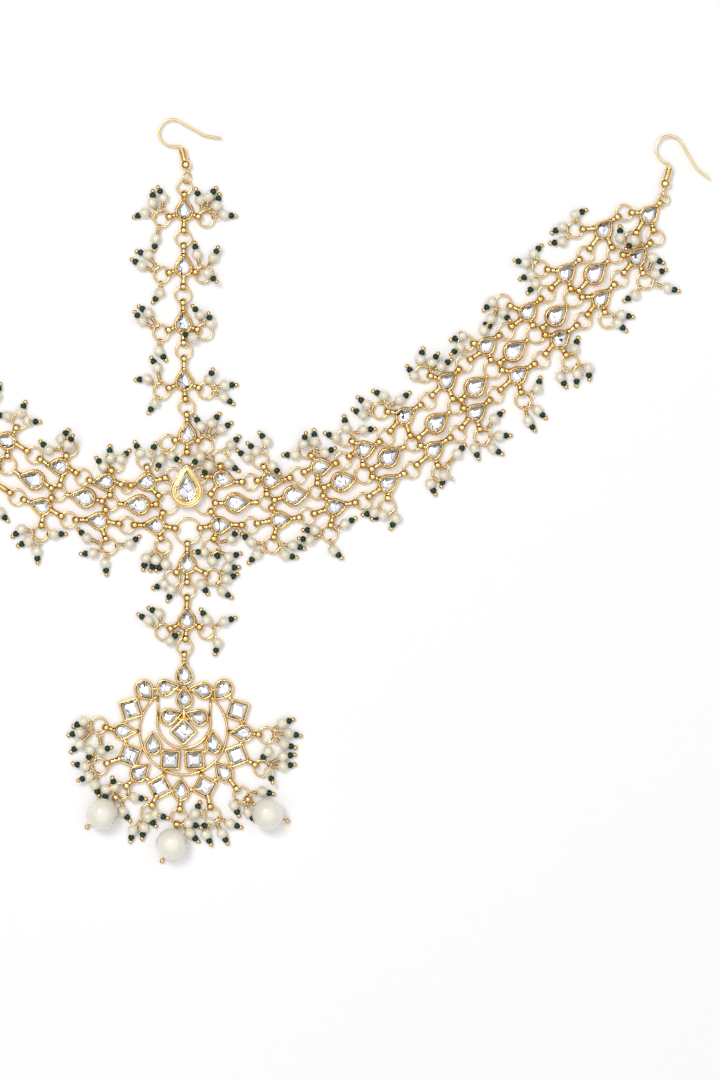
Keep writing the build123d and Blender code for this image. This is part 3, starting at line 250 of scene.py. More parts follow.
RIGHT_BOTTOM_TASSELS = [
    (7.68, -19.2, [
        (14.24, -16.96, 16, -14.4), (5.6, -21.12, 2.4, -21.12), (8, -24, 10.88, -21.44),
        (13.44, -22.72, 17.12, -21.6),
    ]),
    (27.2, -18.88, [
        (20.48, -17.92, 17.6, -15.36), (22.4, -21.76, 19.52, -24.96), (31.36, -22.08, 35.68, -23.04),
        (33.92, -18.88, 37.92, -20.16),
    ]),
    (45.44, -15.04, [
        (40.96, -14.08, 36.16, -14.08), (39.36, -17.28, 35.84, -16.8), (50.56, -12.16, 54.08, -10.24),
        (46.72, -20.48, 50.72, -24.16),
    ]),
    (64, -6.4, [(60, -8.48, 56, -9.28), (62.72, -9.28, 59.2, -10.56), (66.88, -10.24, 64.96, -14.08)]),
    (80.96, 4.16, [(77.76, 0.64, 79.68, -3.2), (82.24, 3.52, 81.28, -0.64), (86.4, 10.24, 88.8, 13.12)]),
    (94.4, 15.68, [
        (98.24, 21.44, 101.28, 24), (99.68, 16, 103.84, 16.16), (97.6, 12.16, 101.28, 9.92),
        (91.84, 12.16, 93.44, 8.32),
    ]),
    (107.52, 27.52, [
        (112, 31.04, 113.28, 35.52), (112, 24.32, 115.2, 21.28), (109.12, 20.8, 111.36, 17.6),
    ]),
    (122.56, 39.68, [
        (123.84, 43.84, 125.12, 47.36), (128.32, 37.76, 128.8, 33.28), (124.8, 35.84, 124.48, 31.68),
        (119.36, 34.88, 121.44, 31.36),
    ]),
    (134.4, 53.12, [(138.88, 54.72, 143.36, 53.92), (137.6, 52.16, 140.8, 49.28)]),
    (146.56, 65.6, [
        (148.96, 72.96, 152.32, 71.36), (149.6, 67.84, 153.28, 69.12), (153.6, 63.36, 157.6, 62.24),
        (143.2, 61.12, 139.84, 59.2),
    ]),
]
LEFT_TOP_TASSELS_SHOWN = [
    (-13.44, 8.32, [(-15.04, 10.56, -16.64, 14.08), (-11.68, 10.24, -9.92, 13.76)]),
    (-22.72, 7.04, [
        (-24.64, 8.96, -24.64, 12.8), (-21.12, 8.64, -17.92, 11.84), (-26.88, 6.24, -28.8, 8.96),
    ]),
    (-37.6, 12, [
        (-44.16, 11.52, -47.04, 14.4), (-40.32, 15.04, -37.92, 17.92), (-37.76, 13.12, -36.16, 16, 2),
    ]),
    (-53.44, 20.8, [
        (-57.38, 22.4, -61.44, 22.72), (-53.22, 23.36, -51.42, 27.39), (-50.78, 20.7, -46.72, 20.48),
    ]),
    (-63.04, 26.88, [
        (-60.8, 28.96, -59.68, 32.64), (-64.64, 31.68, -66.56, 35.04), (-67.68, 29.34, -71.36, 30.88),
    ]),
]
LEFT_BOTTOM_TASSELS_SHOWN = [
    (-7.68, -19.2, [
        (-13.12, -23.04, -14.08, -27.2), (-9.92, -23.68, -11.84, -27.2), (-6.72, -24.96, -10.24, -27.2),
    ]),
    (-24.96, -19.2, [
        (-32, -16.64, -35.2, -13.44), (-30.08, -21.44, -33.92, -21.76), (-26.24, -24.64, -25.6, -29.12),
        (-18.24, -18.56, -15.04, -16),
    ]),
    (-46.72, -15.04, [
        (-52.8, -13.76, -56.32, -16.64), (-50.56, -17.6, -54.24, -19.2), (-48, -20.8, -47.68, -24.96),
        (-42.56, -15.36, -38.72, -15.36),
    ]),
    (-64.32, -4.8, [
        (-59.84, -8.32, -56.96, -11.52), (-63.68, -9.6, -62.4, -13.44), (-67.84, -8.96, -70.72, -11.84),
    ]),
]
CENTRE_TASSELS = [
    (-8, 85.44, [
        (-7.52, 92.16, -9.12, 95.36), (-11.04, 90.56, -10.88, 94.72), (-13.44, 87.36, -17.28, 85.76),
        (-9.92, 79.04, -10.56, 75.2),
    ]),
    (6.08, 85.44, [
        (4.16, 91.36, 3.04, 94.72), (6.88, 92.32, 9.28, 95.2), (9.44, 89.6, 10.4, 93.12),
        (11.84, 86.72, 16, 86.24),
    ]),
    (-8, 67.52, [
        (-12.48, 73.92, -16.48, 75.2), (-14.4, 70.4, -17.92, 72.64), (-8.64, 61.76, -11.2, 58.24),
    ]),
    (5.12, 67.52, [
        (3.2, 74.08, 2.4, 77.92), (8.48, 72.96, 10.08, 76.16), (6.72, 67.84, 10.24, 64.64, 2),
    ]),
    (-8.16, 48.96, [
        (-12.16, 55.36, -15.2, 57.28), (-14.4, 52.8, -16.64, 55.52), (-8.96, 43.2, -6.4, 39.84),
    ]),
    (5.76, 49.28, [
        (4.16, 54.72, 1.92, 57.44), (7.68, 51.84, 7.04, 55.04), (1.92, 47.36, -1.6, 48.8, 1.6),
    ]),
    (-8, 30.4, [
        (-9.44, 37.76, -11.36, 40.96), (-12.64, 34.24, -16.64, 33.92), (-10.24, 26.56, -12.48, 23.04),
    ]),
    (6.08, 30.4, [(7.04, 34.24, 8.48, 37.12), (12, 32.32, 16.32, 32.32), (11.84, 28.48, 15.2, 25.92)]),
    (-6.08, 13.76, [(-8.32, 8.32, -9.28, 5.6), (-4.8, 9.6, -2.14, 7.81)]),
    (5.76, 13.12, [(4.48, 19.04, 2.56, 22.4), (8, 20.16, 10.56, 23.2), (11.04, 18.08, 14.72, 20.48)]),
]
TIKKA_TASSELS = [
    (-4.8, -29.6, [(-7.23, -31.33, -11.01, -32.8), (-4.8, -33.18, -6.4, -37.44)]),
    (8.32, -29.12, [
        (12.8, -26.18, 16.64, -26.02), (12.7, -29.86, 16.19, -28.29), (11.14, -33.54, 14.5, -35.84),
        (4.64, -31.36, 6.72, -34.56),
    ]),
    (-7.49, -46.72, [
        (-8.83, -40.74, -12.86, -38.75), (-12.29, -43.07, -15.68, -41.02),
        (-5.6, -49.44, -2.56, -47.04),
    ]),
    (6.24, -46.4, [
        (6.4, -42.82, 4.38, -39.26), (11.87, -43.33, 15.94, -42.08), (9.92, -50.18, 8.8, -54.72),
    ]),
]
PENDANT_TASSELS = [
    (-28.16, -76.48, [
        (-32.96, -75.2, -36.8, -77.12), (-34.24, -78.72, -38.4, -79.84),
        (-34.24, -82.56, -37.12, -85.12), (-27.36, -84.48, -24, -83.52),
    ]),
    (-27.84, -89.6, [
        (-31.04, -84.32, -31.52, -88), (-32.64, -89.6, -36.48, -88.8), (-31.36, -92.8, -34.56, -94.08),
        (-29.44, -95.52, -28.16, -99.04),
    ]),
    (-21.12, -97.6, [
        (-25.82, -96.9, -26.24, -100.64), (-23.04, -96.32, -23.68, -93.12),
        (-16.96, -99.52, -12.8, -100.16), (-20.48, -104, -17.92, -107.52),
    ]),
    (-12.16, -104.32, [
        (-12.48, -105.92, -9.92, -108.8), (-9.76, -104.96, -6.24, -106.24),
        (-13.76, -109.12, -14.4, -113.6), (-17.28, -110.08, -18.24, -114.56),
    ]),
    (-2.56, -105.76, [(0.48, -107.84, 4.16, -108.96), (0.96, -111.04, 3.52, -113.6)]),
    (8, -104.96, [
        (2.56, -104.64, 4.16, -101.12), (7.36, -107.52, 4.58, -109.12), (6.08, -111.36, 8, -115.2),
        (11.2, -111.04, 13.12, -114.56), (13.76, -107.84, 17.92, -109.44),
    ]),
    (17.44, -98.72, [
        (15.04, -102.08, 16.96, -106.24), (24, -97.6, 27.84, -98.56), (19.52, -104.32, 22.4, -107.84),
    ]),
    (24, -90.24, [
        (26.24, -91.52, 27.52, -94.72), (30.72, -89.6, 34.56, -89.12), (30.72, -86.4, 34.72, -85.92),
        (25.92, -84.8, 23.36, -88),
    ]),
    (25.44, -79.68, [
        (30.4, -75.84, 34.56, -74.56), (32.64, -79.04, 36.48, -80), (31.04, -82.56, 35.2, -83.84),
    ]),
]
BIG_PEARLS = [
    (2, -26.88, -104.64, -32, -109.12), (4, -4.8, -114.24, -8, -120),
    (6, 25.92, -104.64, 32.32, -107.2),
]
PENDANT_DROPS = [
    (-0.8, -60.8, 90, 2.1, 3.4), (-0.8, -68.48, 90, 2.05, 3.4), (-7.04, -64.64, 10, 2.05, 3.4),
    (5.44, -65.44, 170, 2.05, 3.4), (-13.76, -64.96, -50, 2.3, 3.2), (11.84, -64.8, -130, 2.3, 3.2),
    (-20.8, -78.4, 0, 2.1, 3.7), (18.4, -79.04, 180, 2.1, 3.6), (-15.52, -92, 40, 2.1, 3.4),
    (12.16, -92, 130, 2.1, 3.4), (-1.92, -97.92, 90, 2.1, 3.4), (-6.08, -73.92, 18, 2, 3.7),
    (4.16, -74.08, 162, 2, 3.6), (-10.88, -83.2, 90, 2.1, 3.4), (8.32, -82.88, 90, 2.1, 3.4),
]
PENDANT_SQUARES = [
    (-17.92, -71.36, 17, 5), (16.32, -71.84, -17, 4.9), (-18.24, -86.08, -20, 4.9),
    (16, -86.08, 20, 4.9), (-8.64, -96.32, 28, 4.9), (5.76, -96.16, -28, 4.8),
    (-1.12, -78.56, 45, 5), (-5.28, -87.52, -4, 4.7), (2.4, -87.52, 4, 4.7),
]
FRAME_BARS = [
    (-0.8, -65.28, -7.04, -64.64), (-0.8, -65.28, 5.44, -65.44), (-7.04, -64.64, -13.76, -64.96),
    (5.44, -65.44, 11.84, -64.8), (-13.76, -64.96, -17.92, -71.36), (11.84, -64.8, 16.32, -71.84),
    (-17.92, -71.36, -20.8, -78.4), (16.32, -71.84, 18.4, -79.04), (-20.8, -78.4, -18.24, -86.08),
    (18.4, -79.04, 16, -86.08), (-18.24, -86.08, -15.52, -92), (16, -86.08, 12.16, -92),
    (-15.52, -92, -8.64, -96.32), (12.16, -92, 5.76, -96.16), (-8.64, -96.32, -1.92, -97.92),
    (5.76, -96.16, -1.92, -97.92), (-0.8, -60.8, -0.8, -68.48), (-0.8, -68.48, -1.12, -78.56),
    (-6.08, -73.92, -1.12, -74.56), (4.16, -74.08, -1.12, -74.56), (-10.88, -83.2, -5.28, -87.52),
    (8.32, -82.88, 2.4, -87.52), (-20.8, -78.4, -15, -78.4), (18.4, -79.04, 12.8, -78.4),
    (-8.64, -96.32, -6.72, -90.24), (5.76, -96.16, 4.16, -90.24),
]
PENDANT_LUG_ROOTS = [
    (-23.04, -78.08), (-21.12, -87.04), (-17.28, -94.08), (-9.6, -98.88), (-1.92, -100.48),
    (6.72, -98.88), (13.6, -93.76), (19.2, -87.68), (20.8, -79.2),
]
OUTER_CIRCLE = (-1.12, -78.4, 14, 125.5, 286)
INNER_CIRCLE = (-0.96, -75.36, 8.5, 168, 204)
PENDANT_BAIL_FROM = (-0.8, -56.32)
CENTRE_HOOK = (-0.32, 102.72, 104.7)
RIGHT_HOOK = (152.9, 96.64, 74.6)
CENTREPIECE_PLACE = (0, -1.6)
FOOT_PLACE = (0, -0.64)
MIRROR_SHIFT = -0.96
MIRROR_RISE = 2.88


def mirrored(row):
    """The left arm's twin of a unit or ring of the right arm."""
    across, up, last = row
    return (MIRROR_SHIFT - across, up + MIRROR_RISE, last)


def mirrored_unit(row):
    """The left arm's twin of a unit, its heading turned too."""
    across, up, heading = mirrored(row)
    return (across, up, 180 - heading)


def mirrored_tassel(row):
    """The left arm's twin of a tassel: every drop goes to the other side."""
    across, up, drops = row
    turned_drops = []
    for pearl_x, pearl_y, ball_x, ball_y, *lift in drops:
        pearl = (MIRROR_SHIFT - pearl_x, pearl_y + MIRROR_RISE)
        ball = (MIRROR_SHIFT - ball_x, ball_y + MIRROR_RISE)
        turned_drops.append((*pearl, *ball, *lift))
    return (MIRROR_SHIFT - across, up + MIRROR_RISE, turned_drops)


def completed(shown, right_rows, twin):
    """The rows that show, then twins of the right arm's for the rest."""
    return shown + [twin(row) for row in right_rows[len(shown):]]


LEFT_TOP = completed(LEFT_TOP_SHOWN, RIGHT_TOP, mirrored_unit)
LEFT_MIDDLE = completed(LEFT_MIDDLE_SHOWN, RIGHT_MIDDLE, mirrored_unit)
LEFT_BOTTOM = completed(LEFT_BOTTOM_SHOWN, RIGHT_BOTTOM, mirrored_unit)
LEFT_JUNCTIONS = completed(LEFT_JUNCTIONS_SHOWN, RIGHT_JUNCTIONS, mirrored)
LEFT_TOP_RINGS = completed(LEFT_TOP_RINGS_SHOWN, RIGHT_TOP_RINGS, mirrored)
LEFT_BOTTOM_RINGS = completed(LEFT_BOTTOM_RINGS_SHOWN, RIGHT_BOTTOM_RINGS, mirrored)
LEFT_TOP_TASSELS = completed(LEFT_TOP_TASSELS_SHOWN, RIGHT_TOP_TASSELS, mirrored_tassel)
LEFT_BOTTOM_TASSELS = completed(LEFT_BOTTOM_TASSELS_SHOWN, RIGHT_BOTTOM_TASSELS, mirrored_tassel)
LEFT_HOOK = mirrored_unit(RIGHT_HOOK)

ALL_TASSELS = (
    RIGHT_TOP_TASSELS + RIGHT_BOTTOM_TASSELS + LEFT_TOP_TASSELS + LEFT_BOTTOM_TASSELS
    + CENTRE_TASSELS + TIKKA_TASSELS
)
LINK_RINGS = (
    CENTRE_RINGS + RIGHT_JUNCTIONS + LEFT_JUNCTIONS + RIGHT_TOP_RINGS + LEFT_TOP_RINGS
    + RIGHT_BOTTOM_RINGS + LEFT_BOTTOM_RINGS
    + [RIGHT_END_RING, mirrored(RIGHT_END_RING), RIGHT_HOOK_RING, mirrored(RIGHT_HOOK_RING)]
    + [UPPER_RIGHT_RING, UPPER_LEFT_RING, BOTTOM_RING, TIKKA_RING, PENDANT_RING]
)
ALL_RINGS = np.array(LINK_RINGS + [(across, up, RING_RADIUS) for across, up, _ in ALL_TASSELS])


# Forms: each is its points in millimetres and its faces

def grid_faces(rows, columns, wrap_rows=False):
    """Quads between neighbours of a grid whose columns run round and meet, as its rows do if they wrap."""
    row, column = np.meshgrid(np.arange(rows if wrap_rows else rows - 1), np.arange(columns), indexing="ij")
    next_row = (row + 1) % rows
    next_column = (column + 1) % columns
    corners = [(row, column), (row, next_column), (next_row, next_column), (next_row, column)]
    return np.stack([r * columns + c for r, c in corners], -1).reshape(-1, 4)


def turned(profile, around=12):
    """A profile of (along, radius) turned about X: y and z are the radius times cosine and sine."""
    along, radius = np.asarray(profile, float).T[:, :, None]
    angle = np.arange(around) * tau / around
    points = np.stack([along + 0 * angle, radius * np.cos(angle), radius * np.sin(angle)], -1)
    return points.reshape(-1, 3), grid_faces(len(profile), around)


def ball(radius, around=14, rings=9):
    """A sphere: radius and height are the sine and cosine of one angle."""
    angle = np.linspace(0, pi, rings)
    return turned(np.stack([-radius * np.cos(angle), radius * np.sin(angle)], 1), around)


def wire(path, radius, around=8, closed=False, up=(0, 0, 1)):
    """A circle carried along a path: path point + radius * (cosine * side + sine * up), ends drawn to a point."""
    path = np.asarray(path, float)
    radius = np.full(len(path), float(radius))
    if not closed:
        path = np.concatenate([path[:1], path, path[-1:]])
        radius = np.concatenate([[0], radius, [0]])
    way = np.roll(path, -1, 0) - np.roll(path, 1, 0)
    if not closed:
        way[[0, 1, -2, -1]] = [path[2] - path[1]] * 2 + [path[-2] - path[-3]] * 2
    way /= np.linalg.norm(way, axis=1, keepdims=True)
    side = np.cross(np.array(up, float), way)
    side /= np.linalg.norm(side, axis=1, keepdims=True)
    upward = np.cross(way, side)
    angle = np.arange(around)[None, :, None] * tau / around
    offset = side[:, None] * np.cos(angle) + upward[:, None] * np.sin(angle)
    points = path[:, None] + radius[:, None, None] * offset
    return points.reshape(-1, 3), grid_faces(len(path), around, closed)


def loop(radius, gauge, around=8, steps=36, upright=False):
    """A closed wire ring about the origin, level, or upright with its hole along Y."""
    angle = np.arange(steps) * tau / steps
    flat = [radius * np.cos(angle), radius * np.sin(angle), 0 * angle]
    if upright:
        return wire(np.stack([flat[0], flat[2], flat[1]], 1), gauge, around, True, (0, 1, 0))
    return wire(np.stack(flat, 1), gauge, around, True)


def coil(radius, gauge, start, end, turns, steps_a_turn=12, around=6):
    """A helix about X: the angle grows evenly from start to end."""
    step = np.linspace(0, 1, max(int(turns * steps_a_turn), 4))
    angle = step * turns * tau
    path = np.stack([start + (end - start) * step, radius * np.cos(angle), radius * np.sin(angle)], 1)
    return wire(path, gauge, around, up=(1, 0, 0))


def drop_outline(radius, reach, back_steps, flank_steps):
    """Points round a drop from its tip: a bowed flank, the round back and the other flank, one outline a row."""
    radius, reach = np.asarray(radius, float)[:, None], np.asarray(reach, float)[:, None]
    upper_x, upper_y = radius * cos(FLANK_TURN), radius * sin(FLANK_TURN)
    chord_x, chord_y = reach - upper_x, -upper_y
    half_chord = np.hypot(chord_x, chord_y) / 2
    bow = np.arctan2(chord_y, chord_x) - FLANK_TURN + pi / 2
    pull = half_chord / np.cos(bow)
    corner_x, corner_y = upper_x + pull * sin(FLANK_TURN), upper_y - pull * cos(FLANK_TURN)
    t = np.linspace(0, 1, flank_steps + 2)[1:-1]
    flank_x = (1 - t) ** 2 * reach + 2 * t * (1 - t) * corner_x + t**2 * upper_x
    flank_y = 2 * t * (1 - t) * corner_y + t**2 * upper_y
    back = np.linspace(FLANK_TURN, tau - FLANK_TURN, back_steps)
    x = np.concatenate([reach, flank_x, radius * np.cos(back), flank_x[:, ::-1]], 1)
    y = np.concatenate([0 * reach, flank_y, radius * np.sin(back), -flank_y[:, ::-1]], 1)
    return x, y


def square_outline(half, steps):
    """Points round a square with rounded corners: cosine and sine, each raised to a small power."""
    angle = (np.arange(steps) + 0.5) * tau / steps
    x = np.sign(np.cos(angle)) * np.abs(np.cos(angle)) ** 0.16
    y = np.sign(np.sin(angle)) * np.abs(np.sin(angle)) ** 0.16
    return half[:, None] * x, half[:, None] * y


def drop_form(radius, reach, profile, back_steps=26, flank_steps=7, seat=0):
    """The drop's outline carried up a profile: drawn in by each inset, at each height."""
    inset, height = np.asarray(profile, float).T
    pole = inset >= radius
    x, y = drop_outline(
        np.where(pole, 0, radius - inset), np.where(pole, 0, reach - TIP_SHARE * inset), back_steps, flank_steps
    )
    points = np.stack([x, y, height[:, None] + seat + 0 * x], -1)
    return points.reshape(-1, 3), grid_faces(len(profile), x.shape[1])


def square_form(half, profile, steps=40, seat=0):
    """The square's outline carried up a profile: drawn in by each inset, at each height."""
    inset, height = np.asarray(profile, float).T
    x, y = square_outline(np.where(inset >= half, 0, half - inset), steps)
    points = np.stack([x, y, height[:, None] + seat + 0 * x], -1)
    return points.reshape(-1, 3), grid_faces(len(profile), steps)


def eye_form():
    """A bead-like eye with its hole along Y: an oval carried round a circle."""
    turn = np.arange(18)[:, None] * tau / 18
    section = np.arange(10)[None] * tau / 10
    out = EYE_RADIUS + EYE_WALL * np.cos(section)
    points = np.stack(
        [out * np.cos(turn), EYE_HALF_WIDTH * np.sin(section) + 0 * turn, out * np.sin(turn)], -1
    )
    return points.reshape(-1, 3), grid_faces(18, 10, True)


def placed(form, at, heading=0.0, pitch=0.0):
    """A form tipped up by the pitch, turned to the heading, both in degrees, and moved to its place."""
    points, faces = form
    h, p = radians(heading), radians(pitch)
    turn = np.array([[cos(h), -sin(h), 0], [sin(h), cos(h), 0], [0, 0, 1]])
    tip = np.array([[cos(p), 0, -sin(p)], [0, 1, 0], [sin(p), 0, cos(p)]])
    return points @ (turn @ tip).T + np.asarray(at, float), faces


def rolled(form, roll):
    """A form turned about X by an angle in degrees."""
    points, faces = form
    r = radians(roll)
    return points @ np.array([[1, 0, 0], [0, cos(r), sin(r)], [0, -sin(r), cos(r)]]), faces


def heading_of(start, end):
    """Heading in degrees of the level way from one point to another."""
    return degrees(atan2(end[1] - start[1], end[0] - start[0]))


EYE = eye_form()
NECK_SHAPE = [(0, 0), (0, 0.8), (0.18, 1.02), (0.36, 0.82), (0.55, 0.86), (0.8, 1.12), (1, 1.3), (1, 0)]


def lug(root, ring):
    """A lug's eye on the ring's wire nearest the root, and the waisted neck to the root."""
    middle = np.array(ring[:2])
    heading = heading_of(middle, root)
    way = np.array([cos(radians(heading)), sin(radians(heading))])
    eye = middle + way * ring[2]
    run = float(np.dot(np.array(root) - eye, way)) - EYE_RADIUS
    neck = [(EYE_RADIUS + run * share, radius) for share, radius in NECK_SHAPE]
    spot = (*eye, LINK_Z)
    return [placed(EYE, spot, heading), placed(turned(neck), spot, heading)]


def side_root(unit, side, radius, depth):
    """Where the lug on that side meets the rim: side is an angle from the tip, and depth is the tip's."""
    across, up, heading = unit
    depth = depth if side == 0 else radius - 0.6 * RIM
    angle = radians(heading + side)
    return (across + depth * cos(angle), up + depth * sin(angle))


def ring_beside(root, unit, side):
    """The ring whose middle is nearest to where the lug on that side points."""
    angle = radians(unit[2] + side)
    aim = np.array(root) + LUG_REACH * np.array([cos(angle), sin(angle)])
    gap = np.hypot(*(ALL_RINGS[:, :2] - aim).T)
    return tuple(ALL_RINGS[int(gap.argmin())])


def setting(unit, sides, radius, reach, depth, profile):
    """A rimmed setting at its place with a lug on each of its sides."""
    across, up, heading = unit
    parts = [placed(drop_form(radius, reach, profile), (across, up, 0), heading)]
    for side in sides:
        root = side_root(unit, side, radius, depth)
        parts += lug(root, ring_beside(root, unit, side))
    return parts


def middle_setting(unit):
    """A middle-row setting: the junction ring at its tip is soldered to it."""
    parts = setting(unit, (180,), MIDDLE_RADIUS, MIDDLE_REACH, MIDDLE_ROOT_DEPTH, MIDDLE_PROFILE)
    root = side_root(unit, 0, MIDDLE_RADIUS, MIDDLE_ROOT_DEPTH)
    ring = ring_beside(root, unit, 0)
    heading = heading_of(ring, root)
    run = hypot(root[0] - ring[0], root[1] - ring[1])
    neck = [(ring[2] + (run - ring[2]) * share, radius) for share, radius in NECK_SHAPE]
    parts.append(placed(turned(neck), (ring[0], ring[1], LINK_Z), heading))
    parts.append(placed(loop(ring[2], RING_WIRE), (ring[0], ring[1], LINK_Z)))
    return parts


def drop_pitch(run, lift):
    """How far a pin points up: down to the floor at full length, up where it looks foreshortened."""
    if run < FULL_RUN:
        return min(STEEPEST_DROP, degrees(atan2((BALL_AT**2 - run**2) ** 0.5, run)))
    if lift:
        return 0
    return -degrees(atan2(PEARL_RADIUS - BALL_REST_Z, BALL_AT))


PEARL = ball(PEARL_RADIUS, 18, 12)
BEAD = turned([(-0.62, 0.25), (-0.7, 0.6), (-0.52, 0.93), (0, 1.06), (0.52, 0.93), (0.7, 0.6), (0.62, 0.25)], 12)
BEAD_CORE = turned([(-0.62, 0), (-0.62, 0.25), (0.62, 0.25), (0.62, 0)], 6)
BALL_END = ball(BALL_RADIUS, 10, 7)
RING_LOOP = loop(RING_RADIUS, RING_WIRE)
SMALL_LOOP = loop(LOOP_RADIUS, PIN_WIRE, 6, 14, upright=True)
GOLD, NACRE, GREEN = range(3)


def rod(start, end, radius, around=6):
    """A straight rod between two points."""
    return wire(np.linspace(start, end, 2), radius, around)


def drop_parts(middle, pearl_x, pearl_y, ball_x, ball_y, lift=0):
    """One drop: loop on the ring, wrapped wire, pearl, green bead and ball end, each with its finish."""
    run = hypot(ball_x - pearl_x, ball_y - pearl_y)
    heading = heading_of((pearl_x, pearl_y), (ball_x, ball_y))
    pitch = drop_pitch(run, lift)
    pearl = np.array([pearl_x, pearl_y, PEARL_RADIUS + lift])
    tip = np.array([cos(radians(heading)) * cos(radians(pitch)), sin(radians(heading)) * cos(radians(pitch)),
                    sin(radians(pitch))])
    away = heading_of(middle, pearl)
    on_ring = np.array([middle[0] + RING_RADIUS * cos(radians(away)), middle[1] + RING_RADIUS * sin(radians(away)),
                        LINK_Z])
    span = pearl - on_ring
    length = float(np.linalg.norm(span))
    climb = degrees(np.arcsin(span[2] / length))
    wrap_start = LOOP_RADIUS * 1.5
    wrap_end = max(length - PEARL_RADIUS + 0.15, wrap_start + 0.5)
    parts = [
        (placed(PEARL, pearl), NACRE),
        (placed(BEAD, pearl + tip * BEAD_AT, heading, pitch), GREEN),
        (placed(BEAD_CORE, pearl + tip * BEAD_AT, heading, pitch), GREEN),
        (placed(BALL_END, pearl + tip * BALL_AT, heading, pitch), GOLD),
        (rod(pearl + tip * PEARL_RADIUS * 0.9, pearl + tip * BALL_AT, PIN_WIRE), GOLD),
        (rod(on_ring + span * (wrap_start / length), pearl, PIN_WIRE), GOLD),
    ]
    loop_at = on_ring + span * (LOOP_RADIUS * 0.5 / length)
    roll = (7 * ball_x + 11 * ball_y) % WIDEST_ROLL + LEAST_ROLL
    parts.append((placed(rolled(SMALL_LOOP, roll), loop_at, away, climb), GOLD))
    turns = max(1.5, (wrap_end - wrap_start) / 0.44)
    wrap = coil(WRAP_RADIUS, PIN_WIRE, wrap_start, wrap_end, turns, 9, 5)
    parts.append((placed(wrap, on_ring, away, climb), GOLD))
    return parts


def tassel(across, up, drops):
    """A jump ring and its drops."""
    parts = [(placed(RING_LOOP, (across, up, LINK_Z)), GOLD)]
    for drop in drops:
        parts += drop_parts((across, up), *drop)
    return parts


def big_pearl(tassel_index, pearl_x, pearl_y, ball_x, ball_y):
    """A large pearl on its ball pin, capped at both ends, with an eye round the tassel's ring."""
    across, up, _ = PENDANT_TASSELS[tassel_index]
    pearl = np.array([pearl_x, pearl_y, BIG_PEARL_RADIUS])
    foot = np.array([ball_x, ball_y, BIG_BALL_RADIUS])
    away = heading_of((across, up), pearl)
    way = np.array([cos(radians(away)), sin(radians(away)), 0])
    on_ring = np.array([across, up, LINK_Z]) + way * RING_RADIUS
    top = pearl + (on_ring - pearl) * (BIG_PEARL_RADIUS / np.linalg.norm(on_ring - pearl))
    out = (foot - pearl) / np.linalg.norm(foot - pearl)
    end = pearl + out * BIG_PEARL_RADIUS
    collar = turned([(-0.25, 0), (-0.25, 0.6), (0, 0.75), (0.2, 0.55), (0.25, 0)], 12)
    tilt = degrees(np.arcsin(out[2]))
    return [
        (placed(ball(BIG_PEARL_RADIUS, 48, 32), pearl), NACRE),
        (placed(EYE, on_ring, away), GOLD),
        (rod(on_ring + way * EYE_RADIUS, top, 0.45, 8), GOLD),
        (rod(end, foot, 0.28, 8), GOLD),
        (placed(collar, end, heading_of(pearl, foot), tilt), GOLD),
        (placed(ball(BIG_BALL_RADIUS, 14, 9), foot), GOLD),
    ]


def stone(unit, radius, reach, seat):
    """A drop-shaped cut stone: girdle, two rows of facets and a table."""
    across, up, heading = unit
    form = drop_form(radius, reach, STONE_PROFILE, 9, 1, seat)
    return placed(form, (across, up, 0), heading)


def row_stones(units, radius, reach, seat):
    """The stones of a row of settings of one size, as one list of parts."""
    size = (radius - RIM - STONE_CLEARANCE, reach - TIP_SHARE * RIM - 2 * STONE_CLEARANCE)
    return [(stone(unit, *size, seat), 0) for unit in units]


def centrepiece():
    """The raised double-rimmed drop on its foot, with lugs to the five rings about it."""
    across, up = CENTREPIECE_PLACE
    turn = np.arange(24) * tau / 24
    profile = np.array([(0, 0), (1, 0), (1, 2.6), (0, 2.6)])
    foot = np.stack([
        profile[:, :1] * FOOT_HALF_WIDTH * np.cos(turn), profile[:, :1] * FOOT_HALF_LENGTH * np.sin(turn),
        profile[:, 1:] + 0 * turn,
    ], -1).reshape(-1, 3)
    parts = [
        placed(drop_form(CENTREPIECE_RADIUS, CENTREPIECE_REACH, CENTREPIECE_PROFILE, 40, 12), (across, up, 0), 90),
        placed((foot, grid_faces(4, 24)), (*FOOT_PLACE, 0)),
    ]
    for ring in (CENTRE_RINGS[5], UPPER_RIGHT_RING, UPPER_LEFT_RING, RIGHT_JUNCTIONS[0], LEFT_JUNCTIONS[0]):
        parts += lug(FOOT_PLACE, ring)
    return parts


def arc_path(across, up, radius, start, sweep):
    """Points along part of a level circle."""
    angle = np.radians(np.linspace(start, start + sweep, 72))
    return np.stack([across + radius * np.cos(angle), up + radius * np.sin(angle), CIRCLE_Z + 0 * angle], 1)


